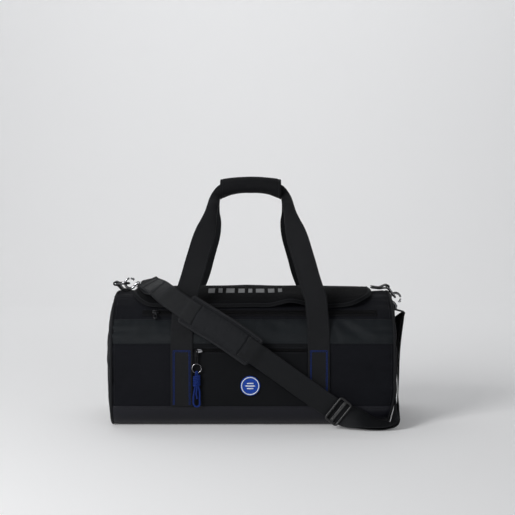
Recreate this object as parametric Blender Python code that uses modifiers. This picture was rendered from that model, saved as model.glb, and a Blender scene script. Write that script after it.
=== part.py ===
"""Soft duffel bag with a zipped lid flap, front pocket, webbing handles and shoulder strap.

Frame: metres, +Z up, the front faces -Y, and +X is to the right seen from the front.
Origin: centre of the base, on the floor. "Left" parts lie at -X, "right" parts at +X.
"""
import math
from bisect import bisect_right
from collections import namedtuple
from itertools import accumulate

import bpy
import numpy as np
from mathutils import Matrix, Vector

COLLECTION = "duffel_bag"
FRONT, BACK = -1, 1
LEFT, RIGHT = -1, 1
X_AXIS, Y_AXIS, Z_AXIS = Vector((1, 0, 0)), Vector((0, 1, 0)), Vector((0, 0, 1))

# ---------------------------------------------------------------- shared dimensions (m)
HALF_LEN = 0.250            # end seams, from the centre
HALF_DEPTH = 0.125
BODY_H = 0.235
CORNER_R = 0.035            # bottom corner
SHOULDER_Z = 0.110          # walls stand straight up to here, then curve over
SHOULDER_H = BODY_H - SHOULDER_Z
SHOULDER_POWER = 2.3        # exponent of the superellipse over the shoulder
SKIN = 0.002
SEAM_GAP = 0.0006
WEB_W = 0.040               # handle and strap webbing
WEB_T = 0.002

# ---------------------------------------------------------------- finishes
Finish = namedtuple("Finish", "colour roughness metallic", defaults=(0.0,))

CLOTH = Finish(colour=(0.012, 0.013, 0.016), roughness=0.8)
SMOOTH = Finish(colour=(0.018, 0.020, 0.022), roughness=0.6)
COATED = Finish(colour=(0.017, 0.017, 0.022), roughness=0.45)
WEB = Finish(colour=(0.016, 0.016, 0.018), roughness=0.75)
STEEL = Finish(colour=(0.7, 0.7, 0.72), roughness=0.25, metallic=1.0)
BLACK = Finish(colour=(0.015, 0.015, 0.015), roughness=0.4)
BLUE = Finish(colour=(0.01, 0.03, 0.2), roughness=0.7)


def material(name, finish):
    mat = bpy.data.materials.new(name)
    mat.use_nodes = True
    inputs = mat.node_tree.nodes["Principled BSDF"].inputs
    inputs["Base Color"].default_value = (*finish.colour, 1.0)
    inputs["Roughness"].default_value = finish.roughness
    inputs["Metallic"].default_value = finish.metallic
    return mat


# ---------------------------------------------------------------- body outline
FLAT_STEPS, CORNER_STEPS, WALL_STEPS, SHOULDER_STEPS = 40, 60, 40, 520
SHOULDER_START = FLAT_STEPS + CORNER_STEPS + WALL_STEPS


def shoulder_point(angle):
    """(|y|, z) on the shoulder: angle 0 at the wall, pi/2 at the top centre."""
    power = 2 / SHOULDER_POWER
    return (HALF_DEPTH * math.cos(angle) ** power,
            SHOULDER_Z + SHOULDER_H * math.sin(angle) ** power)


def build_outline():
    """Half outline in (|y|, z): base centre, corner, wall, shoulder, top centre."""
    flat = HALF_DEPTH - CORNER_R
    points = [(flat * i / FLAT_STEPS, 0.0) for i in range(FLAT_STEPS)]
    for i in range(CORNER_STEPS):
        angle = math.pi / 2 * i / CORNER_STEPS
        points.append((flat + CORNER_R * math.sin(angle), CORNER_R * (1 - math.cos(angle))))
    for i in range(WALL_STEPS):
        points.append((HALF_DEPTH, CORNER_R + (SHOULDER_Z - CORNER_R) * i / WALL_STEPS))
    points += [shoulder_point(math.pi / 2 * i / SHOULDER_STEPS)
               for i in range(SHOULDER_STEPS + 1)]
    return points


OUTLINE = build_outline()
OUTLINE_Y, OUTLINE_Z = np.array(OUTLINE).T
# girth: length along the outline from the base centre
GIRTHS = list(accumulate(map(math.dist, OUTLINE[:-1], OUTLINE[1:]), initial=0.0))
HALF_GIRTH = GIRTHS[-1]


def outline_at(girth):
    """Point and outward normal, both (|y|, z), at a girth within the half outline."""
    i = min(bisect_right(GIRTHS, girth) - 1, len(GIRTHS) - 2)
    (y0, z0), (y1, z1) = OUTLINE[i:i + 2]
    dy, dz = y1 - y0, z1 - z0
    step = math.hypot(dy, dz)
    f = (girth - GIRTHS[i]) / (GIRTHS[i + 1] - GIRTHS[i])
    return (y0 + f * dy, z0 + f * dz), (dz / step, -dy / step)


def girth_at_z(z):
    return float(np.interp(z, OUTLINE_Z, GIRTHS))


def girth_at_y(y):
    """Girth on the shoulder where |y| has come in to y."""
    return float(np.interp(-y, -OUTLINE_Y[SHOULDER_START:], GIRTHS[SHOULDER_START:]))


def on_body(x, girth, raised, side=FRONT):
    """World point on one side, raised off the outline; carries on past either centre line."""
    if girth < 0:
        side, girth = -side, -girth
    if girth > HALF_GIRTH:
        side, girth = -side, 2 * HALF_GIRTH - girth
    (y, z), (normal_y, normal_z) = outline_at(girth)
    return Vector((x, side * (y + normal_y * raised), z + normal_z * raised))


# ---------------------------------------------------------------- makers
def parts_collection():
    col = bpy.data.collections.get(COLLECTION) or bpy.data.collections.new(COLLECTION)
    if COLLECTION not in bpy.context.scene.collection.children:
        bpy.context.scene.collection.children.link(col)
    return col


def adopt_active(name, finish):
    """Name the primitive just added, move it to the bag's collection and give it a finish."""
    ob = bpy.context.active_object
    ob.name = name
    ob.data.name = name
    for col in list(ob.users_collection):
        col.objects.unlink(ob)
    parts_collection().objects.link(ob)
    ob.data.materials.append(material("m_" + name, finish))
    return ob


def place_vertices(ob, place, pivot):
    """Move each vertex to world point place(co), with the object's origin at pivot."""
    pivot = Vector(pivot)
    for vertex in ob.data.vertices:
        vertex.co = place(vertex.co) - pivot
    ob.location = pivot


def sheet(name, cells, surface, thickness, finish, pivot=(0, 0, 0)):
    """A grid of cells (u, v) bent by surface(u, v) in 0..1, thickened by Solidify."""
    bpy.ops.mesh.primitive_grid_add(x_subdivisions=cells[0], y_subdivisions=cells[1], size=2.0)
    ob = adopt_active(name, finish)
    place_vertices(ob, lambda co: surface((co.x + 1) / 2, (co.y + 1) / 2), pivot)
    wall = ob.modifiers.new("wall", "SOLIDIFY")
    wall.thickness = thickness
    wall.offset = 0.0
    wall.use_even_offset = False


def body_patch(name, x_range, girth_range, raised, thickness, finish, cells,
               side=FRONT, pivot=(0, 0, 0)):
    """A sheet following the body between two x and two girths."""
    x0, x1 = x_range
    g0, g1 = girth_range
    sheet(name, cells,
          lambda u, v: on_body(x0 + (x1 - x0) * u, g0 + (g1 - g0) * v, raised, side),
          thickness, finish, pivot)


def ribbon(name, rows, thickness, finish, cells_across=1, pivot=(0, 0, 0)):
    """Flat webbing through rows of (centre, width direction, width)."""
    steps = len(rows) - 1

    def surface(u, v):
        centre, across, width = rows[round(u * steps)]
        return Vector(centre) + Vector(across).normalized() * width * (v - 0.5)

    sheet(name, (steps, cells_across), surface, thickness, finish, pivot)


def box(name, size, centre, finish, pivot=(0, 0, 0), tilt=0.0):
    """A block turned by tilt about X through its centre."""
    bpy.ops.mesh.primitive_cube_add(size=1.0)
    ob = adopt_active(name, finish)
    turn = Matrix.Rotation(tilt, 3, "X")
    scale = Matrix.Diagonal(size)
    place_vertices(ob, lambda co: Vector(centre) + turn @ (scale @ co), pivot)
    return ob


def bevel(ob, width):
    edge = ob.modifiers.new("edge", "BEVEL")
    edge.width = width
    edge.segments = 2


def curve_object(name, dimensions, finish, location):
    curve = bpy.data.curves.new(name, "CURVE")
    curve.dimensions = dimensions
    curve.materials.append(material("m_" + name, finish))
    ob = bpy.data.objects.new(name, curve)
    parts_collection().objects.link(ob)
    ob.location = location
    return ob


def add_polyline(curve, points, cyclic):
    line = curve.splines.new("POLY")
    line.points.add(len(points) - 1)
    for target, point in zip(line.points, points):
        target.co = (*point, 1.0)
    line.use_cyclic_u = cyclic


def tube(name, points, radius, finish, cyclic=False, pivot=(0, 0, 0), resolution=2):
    """A round wire through points."""
    pivot = Vector(pivot)
    curve = curve_object(name, "3D", finish, pivot).data
    add_polyline(curve, [point - pivot for point in points], cyclic)
    curve.bevel_depth = radius
    curve.bevel_resolution = resolution
    curve.use_fill_caps = not cyclic


def plate(name, loops, half_thickness, finish, location, rotation):
    """A flat plate cut from (x, y) loops: the outer edge, then any holes."""
    ob = curve_object(name, "2D", finish, location)
    ob.data.fill_mode = "BOTH"
    ob.data.extrude = half_thickness
    for loop in loops:
        add_polyline(ob.data, [(x, y, 0) for x, y in loop], cyclic=True)
    ob.rotation_euler = rotation


def arc(centre, radius, start, end, steps, across, up):
    """Points round centre from start to end (degrees) in the plane of across and up."""
    angles = [math.radians(start + (end - start) * i / steps) for i in range(steps + 1)]
    return [centre + across * radius * math.cos(a) + up * radius * math.sin(a) for a in angles]


def catmull_rom(keys, steps):
    """steps + 1 samples of a Catmull-Rom curve through tuples of floats."""
    samples = []
    last = len(keys) - 1
    for i in range(steps + 1):
        t = i / steps * last
        k = min(int(t), last - 1)
        f = t - k
        span = keys[max(k - 1, 0)], keys[k], keys[k + 1], keys[min(k + 2, last)]
        samples.append(tuple(
            0.5 * (2 * b + (c - a) * f + (2 * a - 5 * b + 4 * c - d) * f ** 2
                   + (-a + 3 * b - 3 * c + d) * f ** 3)
            for a, b, c, d in zip(*span)))
    return samples


# ---------------------------------------------------------------- body
BASE_WRAP_Z = 0.036         # coated base wraps up the walls to here
PANEL_X = HALF_LEN - 0.0034
OPEN_X = 0.205              # top opening, half length
OPEN_FRONT, OPEN_BACK = 0.058, 0.062        # its edges, as |y|
BAND_Z0, BAND_Z1 = 0.149, 0.192
END_BULGE = 0.014
END_X = HALF_LEN + 0.0042   # rim of an end panel
END_INSET = 0.0012
END_FOOT = 0.0002           # lowest level, just above zero so that the row has its width
PIPING_R = 0.0024
PIPING_INSET = 0.0027
PIPING_STEPS = 64
BOARD_SIZE = (0.470, 0.176, 0.0026)
BOARD_Z = 0.0038


def build_panels():
    wrap = girth_at_z(BASE_WRAP_Z)
    front_edge, back_edge = girth_at_y(OPEN_FRONT), girth_at_y(OPEN_BACK)
    full = (-PANEL_X, PANEL_X)
    across_top = (front_edge + SEAM_GAP, 2 * HALF_GIRTH - back_edge - SEAM_GAP)
    for name, x_range, girths, finish, cells, side in (
            ("bottom_panel", full, (-wrap, wrap), COATED, (2, 22), FRONT),
            ("front_panel", full, (wrap + SEAM_GAP, front_edge), CLOTH, (2, 14), FRONT),
            ("back_panel", full, (wrap + SEAM_GAP, back_edge), CLOTH, (2, 14), BACK),
            ("left_top_panel", (-PANEL_X, -OPEN_X), across_top, CLOTH, (1, 8), FRONT),
            ("right_top_panel", (OPEN_X, PANEL_X), across_top, CLOTH, (1, 8), FRONT)):
        body_patch(name, x_range, girths, -SKIN / 2, SKIN, finish, cells, side)


def body_half_width(z):
    if z < CORNER_R:
        return HALF_DEPTH - CORNER_R + math.sqrt(CORNER_R ** 2 - (CORNER_R - z) ** 2)
    if z <= SHOULDER_Z:
        return HALF_DEPTH
    rise = (z - SHOULDER_Z) / SHOULDER_H
    return HALF_DEPTH * (1 - rise ** SHOULDER_POWER) ** (1 / SHOULDER_POWER)


def build_end(name, sign):
    """Closed end: rows follow the outline and the middle bulges outwards."""
    levels = [END_FOOT]
    levels += [CORNER_R * (1 - math.cos(math.pi / 2 * i / 6)) for i in range(1, 7)]
    levels += [0.060, 0.085, SHOULDER_Z]
    levels += [shoulder_point(math.radians(82) * i / 9)[1] for i in range(1, 10)]
    steps = len(levels) - 1

    def surface(u, v):
        z = levels[round(v * steps)]
        a = 2 * u - 1
        upright = math.sin(math.pi * (z + 0.004) / (BODY_H + 0.008)) ** 0.7
        bulge = END_BULGE * (1 - abs(a) ** 2.6) * upright
        return Vector((sign * (END_X + bulge),
                       a * (body_half_width(z) - END_INSET),
                       END_INSET + z * (BODY_H - 2 * END_INSET) / BODY_H))

    sheet(name, (10, steps), surface, SKIN, CLOTH)


def build_piping(name, sign):
    points = [on_body(sign * HALF_LEN, HALF_GIRTH * 2 * i / PIPING_STEPS, -PIPING_INSET)
              for i in range(PIPING_STEPS)]
    tube(name, points, PIPING_R, BLACK, cyclic=True, resolution=1)


def build_bands():
    """Smoother bands on the front and back."""
    girths = (girth_at_z(BAND_Z0), girth_at_z(BAND_Z1))
    for name, side in (("front_band", FRONT), ("back_band", BACK)):
        body_patch(name, (-PANEL_X, PANEL_X), girths, 0.0009, 0.0010, SMOOTH, (2, 6), side)


def build_body():
    build_panels()
    for tag, sign in (("left", LEFT), ("right", RIGHT)):
        build_end(tag + "_end_panel", sign)
        build_piping(tag + "_piping", sign)
    box("base_board", BOARD_SIZE, (0, 0, BOARD_Z), BLACK)
    build_bands()


# ---------------------------------------------------------------- front pocket
POCKET_X = 0.1015
POCKET_STRIPS = (  # name, bottom z, top z, raised, thickness, finish, cells up
    ("pocket_panel", 0.0375, 0.1332, 0.0010, 0.0012, CLOTH, 4),
    ("pocket_zip_tape", 0.1338, 0.1418, 0.0009, 0.0010, BLACK, 1),
    ("pocket_facing", 0.1424, 0.1484, 0.0010, 0.0012, CLOTH, 1),
)
BADGE_R, BADGE_T, BADGE_Z = 0.0178, 0.0014, 0.0747
BADGE_BACK_Y = -HALF_DEPTH - 0.0020
POCKET_ZIP_Z = 0.1378
SLIDER_X, SLIDER_Y = -0.0915, -HALF_DEPTH - 0.0035
SLIDER_OUTLINE = (  # x, y in the slider's plane
    (-0.0062, -0.0040), (0.0035, -0.0040), (0.0062, -0.0022),
    (0.0062, 0.0022), (0.0035, 0.0040), (-0.0062, 0.0040),
)
PULL_X, PULL_Y = -0.0960, -HALF_DEPTH - 0.0062      # cord, split ring and lanyard
CORD_TOP, CORD_STEP = POCKET_ZIP_Z - 0.0045, 0.0039
CORD_W, CORD_T = 0.0030, 0.0016
RING_R, RING_WIRE = 0.0082, 0.0012
LANYARD_SIZE = (0.016, 0.0050, 0.062)


def build_badge():
    bpy.ops.mesh.primitive_cylinder_add(
        vertices=40, radius=BADGE_R, depth=BADGE_T,
        location=(0.0, BADGE_BACK_Y - BADGE_T / 2, BADGE_Z), rotation=(math.pi / 2, 0, 0))
    bevel(adopt_active("badge", BLUE), 0.0004)


def build_pocket_pull():
    """Zip slider with a cord, a split ring and a flat lanyard tab hanging from it."""
    plate("pocket_slider", [SLIDER_OUTLINE], 0.0016, STEEL,
          location=(SLIDER_X, SLIDER_Y, POCKET_ZIP_Z), rotation=(math.pi / 2, 0, 0))
    rows = [((PULL_X, PULL_Y, CORD_TOP - CORD_STEP * i), X_AXIS, CORD_W) for i in range(5)]
    ribbon("pocket_pull_cord", rows, CORD_T, BLACK, pivot=(PULL_X, PULL_Y, CORD_TOP + 0.0010))
    ring = arc(Vector((PULL_X, PULL_Y - 0.0001, 0.1075)), RING_R, 0, 360, 20, X_AXIS, Z_AXIS)
    tube("split_ring", ring[:-1], RING_WIRE, STEEL, cyclic=True, resolution=1,
         pivot=(PULL_X, PULL_Y, 0.1148))
    lanyard = box("lanyard", LANYARD_SIZE, (PULL_X, -HALF_DEPTH - 0.0076, 0.0650), BLUE,
                  pivot=(PULL_X, PULL_Y, 0.1010))
    bevel(lanyard, 0.0018)


def build_pocket():
    for name, z0, z1, raised, thickness, finish, cells_up in POCKET_STRIPS:
        body_patch(name, (-POCKET_X, POCKET_X), (girth_at_z(z0), girth_at_z(z1)),
                   raised, thickness, finish, (2, cells_up))
    build_badge()
    build_pocket_pull()


# ---------------------------------------------------------------- lid and main zip
LID_FRONT_Y, LID_BACK_Y = -0.081, 0.068
LID_X = 0.213
LID_R = 0.050               # rounded lid corner, measured along y
LID_CORNER_SQUASH = 0.8     # the corner's size along x, as a fraction of LID_R
LID_HINGE = (0, LID_BACK_Y, 0.2255)
LID_RAISED, LID_T = 0.0046, 0.0022
HEM_RAISED, HEM_T = 0.0048, 0.0030
MAIN_ZIP_Y = 0.0925         # |y| on the front shoulder
MAIN_ZIP_X = (-0.196, 0.222)
MAIN_ZIP_HALF_W = 0.007
MAIN_SLIDER_X = -0.172
MAIN_SLIDER_SIZE = (0.0120, 0.0080, 0.0030)
MAIN_PULL_RAISED = 0.0044


def lid_half_length(y):
    from_edge = min(y - LID_FRONT_Y, LID_BACK_Y - y)
    if from_edge >= LID_R:
        return LID_X
    inset = LID_R - math.sqrt(LID_R ** 2 - (LID_R - from_edge) ** 2)
    return LID_X - inset * LID_CORNER_SQUASH


def build_lid():
    front = girth_at_y(-LID_FRONT_Y)
    back = 2 * HALF_GIRTH - girth_at_y(LID_BACK_Y)

    def surface(u, v):
        # rows crowd towards the front and back edges, where the corners curve
        girth = front + (back - front) * (0.5 - 0.5 * math.cos(math.pi * v))
        y = on_body(0, girth, 0.0).y
        half = lid_half_length(min(max(y, LID_FRONT_Y), LID_BACK_Y))
        return on_body((2 * u - 1) * half, girth, LID_RAISED)

    sheet("lid_panel", (8, 14), surface, LID_T, CLOTH, pivot=LID_HINGE)
    half = lid_half_length(LID_FRONT_Y) - 0.002
    body_patch("lid_hem", (-half, half), (front - 0.0068, front - 0.0014),
               HEM_RAISED, HEM_T, CLOTH, (2, 1), pivot=LID_HINGE)


def build_main_zip():
    girth = girth_at_y(MAIN_ZIP_Y)
    body_patch("main_zip_tape", MAIN_ZIP_X, (girth - MAIN_ZIP_HALF_W, girth + MAIN_ZIP_HALF_W),
               0.0009, 0.0010, BLACK, (2, 2))
    # slider block standing square on the tape
    centre = on_body(MAIN_SLIDER_X, girth, 0.0034)
    normal_y, normal_z = outline_at(girth)[1]
    slider = box("main_zip_slider", MAIN_SLIDER_SIZE, centre, STEEL,
                 pivot=centre, tilt=math.atan2(normal_y, normal_z))
    bevel(slider, 0.0008)
    # flat pull hanging down the shoulder
    top = girth - 0.0046
    rows = [(on_body(MAIN_SLIDER_X, top - 0.0045 * i, MAIN_PULL_RAISED), X_AXIS, 0.0060)
            for i in range(4)]
    ribbon("main_zip_pull", rows, 0.0016, STEEL,
           pivot=on_body(MAIN_SLIDER_X, top + 0.001, MAIN_PULL_RAISED))


# ---------------------------------------------------------------- handles
HANDLE_X = 0.123            # centre of a leg where it lies on the body
HINGE_Z = 0.250             # handle folding line
HINGE_HALF_GAP = 0.0024
SEWN_Z0, SEWN_Z1 = 0.0375, 0.158        # webbing lies flat on the wall between these
SEWN_STEPS = 5
SEWN_RAISED = 0.0034
CLEARANCE = 0.0036          # kept from the body just above the flat part
CLEARANCE_TOP_Z = 0.19
HANDLE_T = 0.0024

HANDLE_Y = (  # z, distance from the middle plane
    (0.165, 0.1190), (0.190, 0.1145), (0.220, 0.1120), (0.250, 0.1085), (0.300, 0.0930),
    (0.350, 0.0660), (0.400, 0.0300), (0.416, 0.0105), (0.422, 0.0070), (0.450, 0.0070),
)
LEG_X = (  # z, centre of the leg, which leans inwards above the body
    (0.18, HANDLE_X), (0.23, 0.1180), (0.26, 0.1080), (0.295, 0.0985),
    (0.333, 0.0875), (0.368, 0.0775), (0.396, 0.0705),
)
LEG_STATIONS = (  # z, share of the leg's lean taken up by its width direction
    (0.170, 1.0), (0.182, 1.0), (0.194, 1.0), (0.206, 1.0), (0.218, 1.0), (0.230, 1.0),
    (0.2405, 0.6), (HINGE_Z - HINGE_HALF_GAP, 0.0),
)
SWING_LEG_Z = (HINGE_Z + HINGE_HALF_GAP, 0.264, 0.280, 0.300, 0.322, 0.344, 0.364, 0.382, 0.396)
LEG_TAPER = ((0.345, 0.396), (WEB_W, 0.022))        # z range, width at its ends
SWING_TOP = (  # x, z, width, from the top of a leg to the middle of the grip
    (0.0680, 0.4080, 0.0190), (0.0646, 0.4190, 0.0160), (0.0570, 0.4285, 0.0160),
    (0.0470, 0.4340, 0.0160), (0.0300, 0.4365, 0.0160), (0.0, 0.4370, 0.0160),
)
GRIP_X = 0.056
GRIP_Z = 0.4366
GRIP_T = 0.0030


def handle_y(z):
    return float(np.interp(z, *zip(*HANDLE_Y)))


def leg_x(z):
    return float(np.interp(z, *zip(*LEG_X)))


HINGE_Y = handle_y(HINGE_Z)


def build_leg_webbing(name, side, end):
    """Webbing up the wall on one side and end, as far as the hinge."""
    rows = []
    g0, g1 = girth_at_z(SEWN_Z0), girth_at_z(SEWN_Z1)
    for i in range(SEWN_STEPS + 1):
        girth = g0 + (g1 - g0) * i / SEWN_STEPS
        rows.append((on_body(end * HANDLE_X, girth, SEWN_RAISED, side), X_AXIS, WEB_W))
    for z, lean_share in LEG_STATIONS:
        y = handle_y(z)
        if z < CLEARANCE_TOP_Z:
            (body_y, _), (normal_y, _) = outline_at(girth_at_z(z))
            y = max(y, body_y + CLEARANCE / normal_y)
        lean = leg_x(z + 0.004) - leg_x(z - 0.004)      # over a height of 0.008
        rows.append(((end * leg_x(z), side * y, z), (0.008, 0, -end * lean * lean_share), WEB_W))
    ribbon(name, rows, WEB_T, WEB)


def build_swing(name, side):
    """Swinging part: up one leg, across the grip, down the other."""
    half = [(leg_x(z), z, float(np.interp(z, *LEG_TAPER))) for z in SWING_LEG_Z]
    half += SWING_TOP
    path = [(-x, z, width) for x, z, width in half] + half[-2::-1]
    last = len(path) - 1
    rows = []
    for i, (x, z, width) in enumerate(path):
        before, after = path[max(i - 1, 0)], path[min(i + 1, last)]
        # the two hinge ends are cut level
        dx = 0.0 if i in (0, last) else after[0] - before[0]
        dz = after[1] - before[1]
        rows.append(((x, side * handle_y(z), z), (dz, 0, -dx), width))
    ribbon(name, rows, HANDLE_T, WEB, pivot=(0, side * HINGE_Y, HINGE_Z))


def build_grip(name, side, pivot):
    """One half of the padded wrap round both handles."""
    def surface(u, v):
        x = GRIP_X * (2 * u - 1)
        flare = abs(2 * u - 1)
        angle = math.radians(4 + 172 * v)
        y = 0.0004 + (0.0165 + 0.0034 * flare) * math.sin(angle)
        z = GRIP_Z - 0.0085 * flare ** 3 + (0.0132 + 0.0050 * flare ** 3) * math.cos(angle)
        return Vector((x, side * y, z))

    sheet(name, (8, 10), surface, GRIP_T, CLOTH, pivot=pivot)


def build_handles():
    for tag, side in (("front", FRONT), ("back", BACK)):
        build_leg_webbing(tag + "_left_webbing", side, LEFT)
        build_leg_webbing(tag + "_right_webbing", side, RIGHT)
        build_swing(tag + "_handle", side)
    build_grip("grip_sleeve", BACK, pivot=(0, HINGE_Y, HINGE_Z))
    build_grip("grip_flap", FRONT, pivot=(0, 0, 0.4490))


# ---------------------------------------------------------------- shoulder strap
LEFT_D_BAR = Vector((-0.2560, 0.0, 0.2500))
LEFT_D_TIP = Vector((-0.2310, 0.0, 0.2500))
LEFT_HOOK = Vector((-0.2290, 0.0, 0.2500))      # centre of the hook's open ring
RIGHT_D_BAR = Vector((0.2590, 0.0, 0.2440))
RIGHT_D_TIP = Vector((0.2745, 0.0, 0.2235))
RIGHT_HOOK = Vector((0.2755, 0.0, 0.2220))
D_WIRE = 0.0019
D_HALF_W = 0.0150
D_STRAIGHT = 0.006          # straight sides before the bow
TAB_W, TAB_T, TAB_LEN = 0.022, 0.0012, 0.012
HOOK_R = 0.0095
HOOK_WIRE = 0.0024
SHANK = 0.0205              # shank end, from the ring centre
GATE_WIRE = 0.0017
EYE_WIRE = 0.0018
EYE_HALF_W = 0.0215
EYE_NECK_HALF_W = 0.0045
EYE_BEYOND_WEB = 0.0042

# strap stations: x, y, z, width direction x, y, z
STRAP_LEFT = (
    (-0.1925, -0.0215, 0.2530, 0.775, 0.50, 0.385),
    (-0.1720, -0.0720, 0.2490, 0.640, 0.45, 0.560),
    (-0.1460, -0.1190, 0.2345, 0.600, 0.12, 0.790),
    (-0.1190, -0.1270, 0.2165, 0.590, 0.06, 0.800),
)
STRAP_PAD = (
    (-0.1168, -0.1280, 0.2155, 0.590, 0.06, 0.800),
    (-0.0850, -0.1350, 0.1960, 0.590, 0.08, 0.800),
    (-0.0400, -0.1430, 0.1690, 0.590, 0.05, 0.800),
    (0.0060, -0.1475, 0.1375, 0.600, 0.03, 0.800),
)
STRAP_FRONT = (
    (0.0085, -0.1475, 0.1358, 0.600, 0.03, 0.800),
    (0.0500, -0.1460, 0.1060, 0.600, 0.02, 0.800),
    (0.1000, -0.1440, 0.0700, 0.600, 0.02, 0.800),
    (0.1660, -0.1440, 0.0255, 0.610, 0.05, 0.790),
)
STRAP_LOWER = (
    (0.1695, -0.1440, 0.0240, 0.600, 0.06, 0.790),
    (0.1950, -0.1470, 0.0175, 0.330, 0.66, 0.550),
    (0.2200, -0.1480, 0.0128, 0.100, 0.86, 0.380),
    (0.2420, -0.1450, 0.0152, -0.100, 0.70, 0.560),
    (0.2585, -0.1325, 0.0235, -0.340, 0.00, 0.900),
    (0.2640, -0.1080, 0.0430, -0.150, -0.42, 0.800),
)
STRAP_RETURN = (
    (0.2643, -0.1062, 0.0450, -0.145, -0.43, 0.800),
    (0.2680, -0.0850, 0.0690, -0.050, -0.58, 0.780),
    (0.2725, -0.0580, 0.1000, 0.000, -0.68, 0.700),
    (0.2770, -0.0300, 0.1350, 0.080, -0.75, 0.640),
    (0.2808, -0.0020, 0.1830, 0.350, -0.93, 0.100),
)
STRAP_RUNS = (  # name, stations, steps, width, thickness, finish, cells across
    ("strap_left_run", STRAP_LEFT, 12, WEB_W, WEB_T, WEB, 1),
    ("shoulder_pad", STRAP_PAD, 12, 0.053, 0.0090, CLOTH, 2),
    ("strap_front_run", STRAP_FRONT, 9, WEB_W, WEB_T, WEB, 1),
    ("strap_lower_run", STRAP_LOWER, 20, WEB_W, WEB_T, WEB, 1),
    ("strap_return_run", STRAP_RETURN, 12, WEB_W, WEB_T, WEB, 1),
)


def build_d_ring(name, bar, tip):
    """Half-round ring: straight bar through the tab, bow towards the tip."""
    reach = (tip - bar).length
    axis = (tip - bar).normalized()
    half_bar = Y_AXIS * D_HALF_W
    points = [bar - half_bar]
    for i in range(13):
        angle = math.radians(-90 + 180 * i / 12)
        points.append(bar + axis * (D_STRAIGHT + (reach - D_STRAIGHT) * math.cos(angle))
                      + half_bar * math.sin(angle))
    points.append(bar + half_bar)
    tube(name, points, D_WIRE, STEEL, cyclic=True, pivot=bar)


def build_ring_tab(name, bar, back):
    """Webbing loop round the bar, its two layers running in direction back."""
    back = Vector(back).normalized()
    up = Vector((-back.z, 0, back.x))
    radius = D_WIRE + TAB_T
    centres = [bar + up * radius + back * TAB_LEN]
    centres += arc(bar, radius, 90, 270, 8, back, up)
    centres.append(bar - up * radius + back * TAB_LEN)
    ribbon(name, [(centre, Y_AXIS, TAB_W) for centre in centres], TAB_T, WEB)


def build_hook(tag, ring, out, up, web_end, web_next):
    """Snap hook: bent rod with shank and open ring, gate, and eye for the webbing."""
    points = [ring + out * SHANK, ring + out * 0.0160,
              ring + out * 0.0130 - up * 0.0004, ring + out * 0.0108 - up * 0.0018]
    points += arc(ring, HOOK_R, -20, -262, 22, out, up)
    tube(tag + "_hook_body", points, HOOK_WIRE, STEEL, pivot=points[0])
    gate = arc(ring, HOOK_R, 40, 80, 6, out, up)
    tube(tag + "_hook_gate", gate, GATE_WIRE, STEEL, pivot=gate[0])

    # eye: bar just past the webbing's end, sides closing on the shank
    end = Vector(web_end[:3])
    across = Vector(web_end[3:]).normalized()
    bar = end + (end - Vector(web_next[:3])).normalized() * EYE_BEYOND_WEB
    half_bar = across * EYE_HALF_W
    neck = ring + out * (SHANK + EYE_WIRE + 0.0006)
    half_neck = (across - out * across.dot(out)).normalized() * EYE_NECK_HALF_W
    shoulder = (neck - bar) * 0.10
    loop = [bar - half_bar, bar - half_bar + shoulder, neck - half_neck,
            neck + half_neck, bar + half_bar + shoulder, bar + half_bar]
    tube(tag + "_hook_eye", loop, EYE_WIRE, STEEL, cyclic=True, resolution=1, pivot=neck)


def rounded_rectangle(x0, x1, half_height, radius):
    top = half_height - radius
    corners = ((x1 - radius, top, 0), (x0 + radius, top, 90),
               (x0 + radius, -top, 180), (x1 - radius, -top, 270))
    return [(x + radius * math.cos(math.radians(start + 30 * i)),
             y + radius * math.sin(math.radians(start + 30 * i)))
            for x, y, start in corners for i in range(4)]


def build_buckle():
    """Adjuster: flat frame with two slots, lying on the front run near its lower end."""
    loops = [rounded_rectangle(-0.0130, 0.0130, 0.0240, 0.004),
             rounded_rectangle(-0.0095, -0.0025, 0.0205, 0.0015),
             rounded_rectangle(0.0025, 0.0095, 0.0205, 0.0015)]
    start, end = (Vector(key[:3]) for key in STRAP_FRONT[-2:])
    run = end - start
    plate("strap_buckle", loops, 0.0013, BLACK,
          location=start + run * 0.86 - Y_AXIS * 0.0042,
          rotation=(math.pi / 2, math.atan2(-run.z, run.x), 0))


def build_strap():
    build_d_ring("left_d_ring", LEFT_D_BAR, LEFT_D_TIP)
    build_ring_tab("left_ring_tab", LEFT_D_BAR, back=(1, 0, -0.10))
    build_hook("left", LEFT_HOOK, X_AXIS, Z_AXIS, STRAP_LEFT[0], STRAP_LEFT[1])
    build_d_ring("right_d_ring", RIGHT_D_BAR, RIGHT_D_TIP)
    build_ring_tab("right_ring_tab", RIGHT_D_BAR, back=(-1, 0, 0.12))
    build_hook("right", RIGHT_HOOK, -Z_AXIS, X_AXIS, STRAP_RETURN[-1], STRAP_RETURN[-2])
    for name, keys, steps, width, thickness, finish, cells_across in STRAP_RUNS:
        rows = [(key[:3], key[3:], width) for key in catmull_rom(keys, steps)]
        ribbon(name, rows, thickness, finish, cells_across, pivot=LEFT_D_TIP)
    build_buckle()


def main():
    for ob in list(bpy.data.objects):
        bpy.data.objects.remove(ob, do_unlink=True)
    build_body()
    build_pocket()
    build_lid()
    build_main_zip()
    build_handles()
    build_strap()
    for ob in parts_collection().objects:
        if ob.type == "MESH":
            for polygon in ob.data.polygons:
                polygon.use_smooth = True


main()
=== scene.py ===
"""Black duffel bag with carry handles, a top flap and a shoulder strap, built on its CAD frame.

Metres, +Z up. The bag stands on z = 0 with its length along x. The front, with the pocket and
the badge, faces -y; the left end is at -x.

Cloth is placed by x and girth. Girth is the distance round the cross-section from the bottom
centre: negative up the front, positive up the back. A girth beyond +-GIRTH carries on over the
top centre and down the other side. Lift is the height above the cloth, along its normal.
"""
import math

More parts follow.
